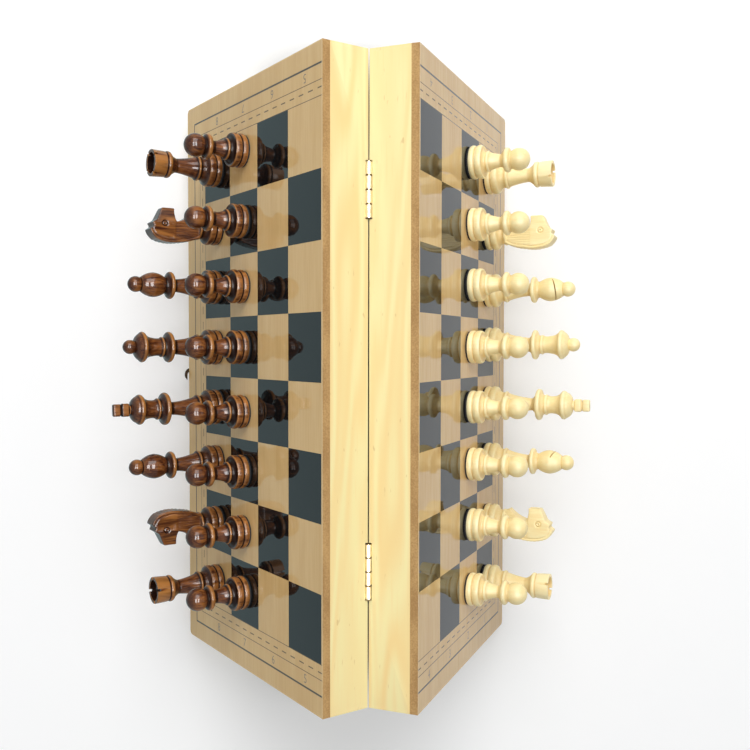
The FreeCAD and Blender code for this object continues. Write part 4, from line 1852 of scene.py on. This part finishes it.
# ---------------------------------------------------------------- the board
@dataclass(frozen=True)
class BoardHalf:
    """One tray half: its printed panel, rails, steel, felt and foam."""

    side: Side
    numbers: tuple[str, ...]
    square: float = 30.4
    number_height: float = 4.3
    number_band: float = 0.34
    font_scale: float = 1.36
    number_thinning: float = 0.06
    ink_lift: float = 0.02
    edge_ease: float = 0.3
    foam_radius: float = 0.9
    foam_crown: float = 0.12
    felt_radius: float = 0.3

    def dress_frame(self, nodes: Nodes, finishes: Finishes) -> None:
        """Gives the panel, rails, steel and hinge parts their finishes.

        Args:
            nodes: The CAD parts by name.
            finishes: The set's finishes.
        """
        label = self.side.label
        dressing = (
            ("play_panel", finishes.board[self.side], self.edge_ease),
            ("spine_rail", finishes.pine_long[self.side], self.edge_ease),
            ("front_rail", finishes.pine_long[self.side], self.edge_ease),
            ("end_rails", finishes.pine_short[self.side], 0.0),
            ("steel_sheet", finishes.steel, 0.0),
            ("hinge_leaf_1", finishes.hinge, 0.0),
            ("hinge_leaf_2", finishes.hinge, 0.0),
            ("hinge_screws", finishes.hinge, 0.0),
        )
        for part, finish, ease in dressing:
            dress(nodes[f"{label}_{part}"], finish, ease)
        LOG.info("%s half: frame dressed", label)

    def blocks(self, node: bpy.types.Object) -> Blocks:
        """Measures the separate blocks of one CAD part in the half's flat frame.

        Args:
            node: The CAD part.

        Returns:
            Each block's lowest and highest corner, in metres.
        """
        flat = Slope(self.side).frame().inverted()
        mesh = bmesh.new()
        mesh.from_mesh(node.data)
        bmesh.ops.transform(mesh, matrix=flat, verts=mesh.verts)
        bmesh.ops.remove_doubles(mesh, verts=mesh.verts, dist=1e-6)
        waiting = set(mesh.verts)
        found = []
        while waiting:
            island, edge = set(), [waiting.pop()]
            while edge:
                vert = edge.pop()
                island.add(vert)
                near = {link.other_vert(vert) for link in vert.link_edges} & waiting
                waiting -= near
                edge += near
            places = [vert.co.copy() for vert in island]
            low = Vector([min(p[i] for p in places) for i in range(3)])
            high = Vector([max(p[i] for p in places) for i in range(3)])
            found.append((low, high))
        mesh.free()
        return sorted(found, key=lambda pair: tuple(pair[0]))

    def soft_mesh(self, name: str, blocks: Blocks, radius: float, crown: float) -> bpy.types.Mesh:
        """Builds soft-edged blocks and stands them with the half.

        Args:
            name: The mesh's name.
            blocks: Each block's lowest and highest corner in the half's flat frame.
            radius: The rounding of the edges, in millimetres.
            crown: How far the edges stay back from the faces, in millimetres.

        Returns:
            The mesh.
        """
        mesh = bmesh.new()
        for low, high in blocks:
            rounded_block(mesh, low, high, radius * MM, crown * MM)
        bmesh.ops.transform(mesh, matrix=Slope(self.side).frame(), verts=mesh.verts)
        return to_mesh(mesh, name, 1.0)

    def lay_foam(self, nodes: Nodes, finishes: Finishes) -> None:
        """Builds the storage foam with soft edges.

        Args:
            nodes: The CAD parts by name.
            finishes: The set's finishes.
        """
        for part in ("foam_strips", "foam_dividers"):
            name = f"{self.side.label}_{part}"
            blocks = self.blocks(nodes[name])
            data = self.soft_mesh(name, blocks, self.foam_radius, self.foam_crown)
            made = piece(data, f"{name}_soft", [finishes.foam])
            join_body(made, f"{self.side.label}_half", name)
        LOG.info("%s half: storage foam laid", self.side.label)

    def lay_felt(self, nodes: Nodes, finishes: Finishes) -> None:
        """Builds the felt on the tray's floor.

        Args:
            nodes: The CAD parts by name.
            finishes: The set's finishes.
        """
        name = f"{self.side.label}_tray_liner"
        blocks = self.blocks(nodes[name])[:1]
        data = self.soft_mesh(name, blocks, self.felt_radius, 0.0)
        made = piece(data, f"{name}_felt", [finishes.tray_felt])
        join_body(made, f"{self.side.label}_half", name)
        LOG.info("%s half: tray felt laid", self.side.label)

    def print_numbers(self, finishes: Finishes) -> None:
        """Prints the rank numbers in the band at both ends.

        Args:
            finishes: The set's finishes.
        """
        slope = Slope(self.side)
        sheet = bmesh.new()
        for end in (1, -1):
            for column, text in enumerate(self.numbers):
                curve = bpy.data.curves.new("number", "FONT")
                curve.body = text
                curve.size = self.number_height * MM * self.font_scale
                curve.align_x = "CENTER"
                curve.align_y = "CENTER"
                curve.offset = -self.number_thinning * MM
                made = piece(curve, "number", [])
                data = settled(made, "number")
                across = (column + 0.5) * self.square
                reach = (4 + self.number_band) * self.square
                spot = slope.frame() @ Vector((across * MM, slope.side.sign * end * reach * MM, 0.0))
                spot += slope.out * (slope.surface + self.ink_lift) * MM
                right = slope.down * slope.side.sign * -end
                upward = Vector((0.0, -float(end), 0.0))
                matrix = Matrix((right, upward, right.cross(upward))).transposed().to_4x4()
                matrix.translation = spot
                data.transform(matrix)
                sheet.from_mesh(data)
                bpy.data.meshes.remove(data)
        data = bpy.data.meshes.new(f"{self.side.label}_numbers")
        sheet.to_mesh(data)
        sheet.free()
        made = piece(data, f"{self.side.label}_printed_numbers", [finishes.ink])
        join_body(made, f"{self.side.label}_half")
        LOG.info("%s half: numbers printed", self.side.label)

    def build(self, nodes: Nodes, finishes: Finishes) -> None:
        """Builds and dresses the whole half.

        Args:
            nodes: The CAD parts by name.
            finishes: The set's finishes.
        """
        self.dress_frame(nodes, finishes)
        self.lay_foam(nodes, finishes)
        self.lay_felt(nodes, finishes)
        self.print_numbers(finishes)


@dataclass(frozen=True)
class Fittings:
    """The hinge pins and the swing clasp with its catch."""

    bright: tuple[str, ...] = ("hinge_pins",)
    dark: tuple[str, ...] = ("clasp_hook", "clasp_rivet", "clasp_plate", "catch_peg", "catch_plate")
    hook_ease: float = 0.12

    def build(self, nodes: Nodes, finishes: Finishes) -> None:
        """Gives the fittings their metal.

        Args:
            nodes: The CAD parts by name.
            finishes: The set's finishes.
        """
        for name in self.bright:
            dress(nodes[name], finishes.hinge)
        for name in self.dark:
            dress(nodes[name], finishes.bronze, self.hook_ease if name == "clasp_hook" else 0.0)
        LOG.info("fittings: %d parts dressed", len(self.bright) + len(self.dark))


# ---------------------------------------------------------------- the studio
@dataclass(frozen=True)
class Lamp:
    """One soft lamp: where it hangs, what it points at, its width, depth and power."""

    name: str
    place: tuple[float, float, float]
    width: float
    depth: float
    power: float
    shine_only: bool = False
    aim: tuple[float, float, float] = (0.0, 0.0, 0.05)

    def build(self) -> None:
        """Hangs the lamp."""
        data = bpy.data.lights.new(self.name, "AREA")
        data.shape = "RECTANGLE"
        data.size = self.width
        data.size_y = self.depth
        data.energy = self.power
        made = bpy.data.objects.new(self.name, data)
        bpy.context.scene.collection.objects.link(made)
        made.visible_diffuse = not self.shine_only
        back = (Vector(self.place) - Vector(self.aim)).normalized()
        across = FOLD_LINE.cross(back).normalized()
        turn = Matrix((across, back.cross(across), back)).transposed().to_4x4()
        made.matrix_world = Matrix.Translation(self.place) @ turn


@dataclass(frozen=True)
class Studio:
    """The floor, lamps, world light and camera."""

    floor_size: float = 2.6
    floor_sides: int = 64
    floor_colour: Colour = (0.80, 0.80, 0.80, 1.0)
    floor_shade: Colour = (0.13, 0.115, 0.10, 1.0)
    mirror_dim: Colour = (0.45, 0.59, 0.61, 1.0)
    mirror_bright: Colour = (0.77, 0.80, 0.83, 1.0)
    floor_lift: float = 0.22
    fibre_dim: float = 0.985
    mirror_edge: float = 0.05
    shelter_reach: float = 0.15
    shade_across: tuple[float, float] = (0.075, 0.01)
    shade_along: tuple[float, float] = (0.2, 0.165)
    world_colour: Colour = (0.97, 0.985, 1.0, 1.0)
    world_strength: float = 0.56
    world_shine: float = 0.2
    eye: tuple[float, float, float] = (-0.03785, 0.01504, 0.5300)
    eye_turn: tuple[float, float, float] = (-0.0337, -0.108, 0.0)
    lens: float = 44.15
    shift: tuple[float, float] = (-0.0089, 0.0050)
    lamps: tuple[Lamp, ...] = (
        Lamp("window_side", (0.0, 0.8, 1.0), 0.8, 0.8, 11.5),
        Lamp("panel_left", (-0.4, 0.05, 1.9), 0.48, 1.3, 36.0, True),
        Lamp("panel_right", (0.4, 0.05, 1.9), 0.48, 1.3, 36.0, True),
    )

    def lay_floor(self) -> None:
        """Lays a pale round floor that keeps the set's shadow, with painted shade under the tent and a
        darker floor in reflections on the dark side.
        """
        rim = [(0.0, 0.0), (self.floor_size * 0.6, 0.0), (self.floor_size, 0.0)]
        angles = [360 * number / self.floor_sides for number in range(self.floor_sides)]
        mesh = revolve(rim, angles, lambda across, height, angle: height)
        data = to_mesh(mesh, "pale_floor", 1.0)
        wires = Wiring("pale_paper")
        fibres = wires.noise(wires.place(), 60.0, 3.0)
        dim = (*(part * self.fibre_dim for part in self.floor_colour[:3]), 1.0)
        colour = wires.mix(fibres, dim, self.floor_colour)
        place = wires.place()
        across = wires.dot(place, Vector((1.0, 0.0, 0.0)))
        ray = wires.node("ShaderNodeLightPath")
        # Reflections see a darker floor on the dark side than on the pale side: painted shade in the
        # reflected floor.
        bright_side = wires.step(across, -self.mirror_edge, self.mirror_edge)
        mirrored = wires.mix(bright_side, self.mirror_dim, self.mirror_bright)
        colour = wires.mix(ray.outputs["Is Glossy Ray"], colour, mirrored)
        shelter = wires.node("ShaderNodeAmbientOcclusion", samples=32)
        shelter.inputs["Distance"].default_value = self.shelter_reach
        covered = wires.step(shelter.outputs["AO"], 0.95, 0.6)
        along = wires.dot(place, FOLD_LINE)
        covered = wires.times(covered, wires.step(wires.size(across), *self.shade_across))
        covered = wires.times(covered, wires.step(wires.size(along), *self.shade_along))
        colour = wires.mix(covered, colour, self.floor_shade)
        matt = wires.node("ShaderNodeBsdfDiffuse")
        wires.feed(matt.inputs["Color"], colour)
        seen = wires.math("ADD", ray.outputs["Is Camera Ray"], ray.outputs["Is Transmission Ray"], True)
        seen = wires.times(wires.times(seen, self.floor_lift), wires.minus(1.0, covered))
        glow = wires.node("ShaderNodeEmission")
        glow.inputs["Color"].default_value = WHITE
        wires.feed(glow.inputs["Strength"], seen)
        both = wires.node("ShaderNodeAddShader")
        wires.feed(both.inputs[0], matt.outputs[0])
        wires.feed(both.inputs[1], glow.outputs[0])
        end = wires.node("ShaderNodeOutputMaterial")
        wires.feed(end.inputs["Surface"], both.outputs[0])
        floor = piece(data, "pale_floor", [wires.material])

    def light_world(self) -> None:
        """Sets the light that comes from all round."""
        world = bpy.data.worlds.new("pale_room")
        wires = Wiring(world.name, world)
        glows = []
        for colour, strength in ((self.world_colour, self.world_strength), (WHITE, 1.0)):
            glow = wires.node("ShaderNodeBackground")
            glow.inputs["Color"].default_value = colour
            glow.inputs["Strength"].default_value = strength
            glows.append(glow.outputs[0])
        ray = wires.node("ShaderNodeLightPath")
        shine = wires.math("MULTIPLY_ADD", ray.outputs["Is Glossy Ray"], self.world_shine)
        wires.feed(shine.node.inputs[2], ray.outputs["Is Camera Ray"])
        share = wires.math("ADD", shine, ray.outputs["Is Transmission Ray"], True)
        mix = wires.node("ShaderNodeMixShader")
        for socket, source in zip(mix.inputs, (share, *glows)):
            wires.feed(socket, source)
        end = wires.node("ShaderNodeOutputWorld")
        wires.feed(end.inputs["Surface"], mix.outputs[0])
        bpy.context.scene.world = world

    def set_camera(self) -> None:
        """Sets the camera above the fold, a little to the dark side."""
        data = bpy.data.cameras.new("above_the_fold")
        data.lens = self.lens
        data.sensor_width = 36.0
        data.shift_x, data.shift_y = self.shift
        data.clip_start = 0.01
        data.clip_end = 20.0
        made = bpy.data.objects.new("above_the_fold", data)
        bpy.context.scene.collection.objects.link(made)
        turn = Vector(self.eye_turn)
        made.matrix_world = (
            Matrix.Translation(self.eye) @ Matrix.Rotation(turn.length, 4, turn.normalized())
        )
        bpy.context.scene.camera = made

    def build(self) -> None:
        """Builds the studio."""
        self.lay_floor()
        self.light_world()
        for lamp in self.lamps:
            lamp.build()
        self.set_camera()
        bpy.context.scene.view_settings.view_transform = "Standard"
        LOG.info("studio: floor, %d lamps and camera", len(self.lamps))


# ---------------------------------------------------------------- the whole set
def main() -> None:
    """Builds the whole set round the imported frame."""
    logging.basicConfig(level=logging.INFO, format="%(name)s %(message)s")
    for made in list(bpy.data.objects):
        bpy.data.objects.remove(made)
    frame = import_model()
    nodes = frame["nodes"]
    Studio().build()
    finishes = Finishes()
    LOG.info("finishes made")
    BoardHalf(Side.WHITE, ("4", "3", "2", "1")).build(nodes, finishes)
    BoardHalf(Side.BLACK, ("5", "6", "7", "8")).build(nodes, finishes)
    Fittings().build(nodes, finishes)
    Army(Side.WHITE, (20.0, 0.0, 210.0, 0.0, 0.0, 58.0, 0.0, 65.0)).build(nodes, finishes)
    Army(Side.BLACK, (35.0, 0.0, 200.0, 0.0, 4.0, 160.0, 180.0, 12.0)).build(nodes, finishes)


if __name__ == "__main__":
    main()
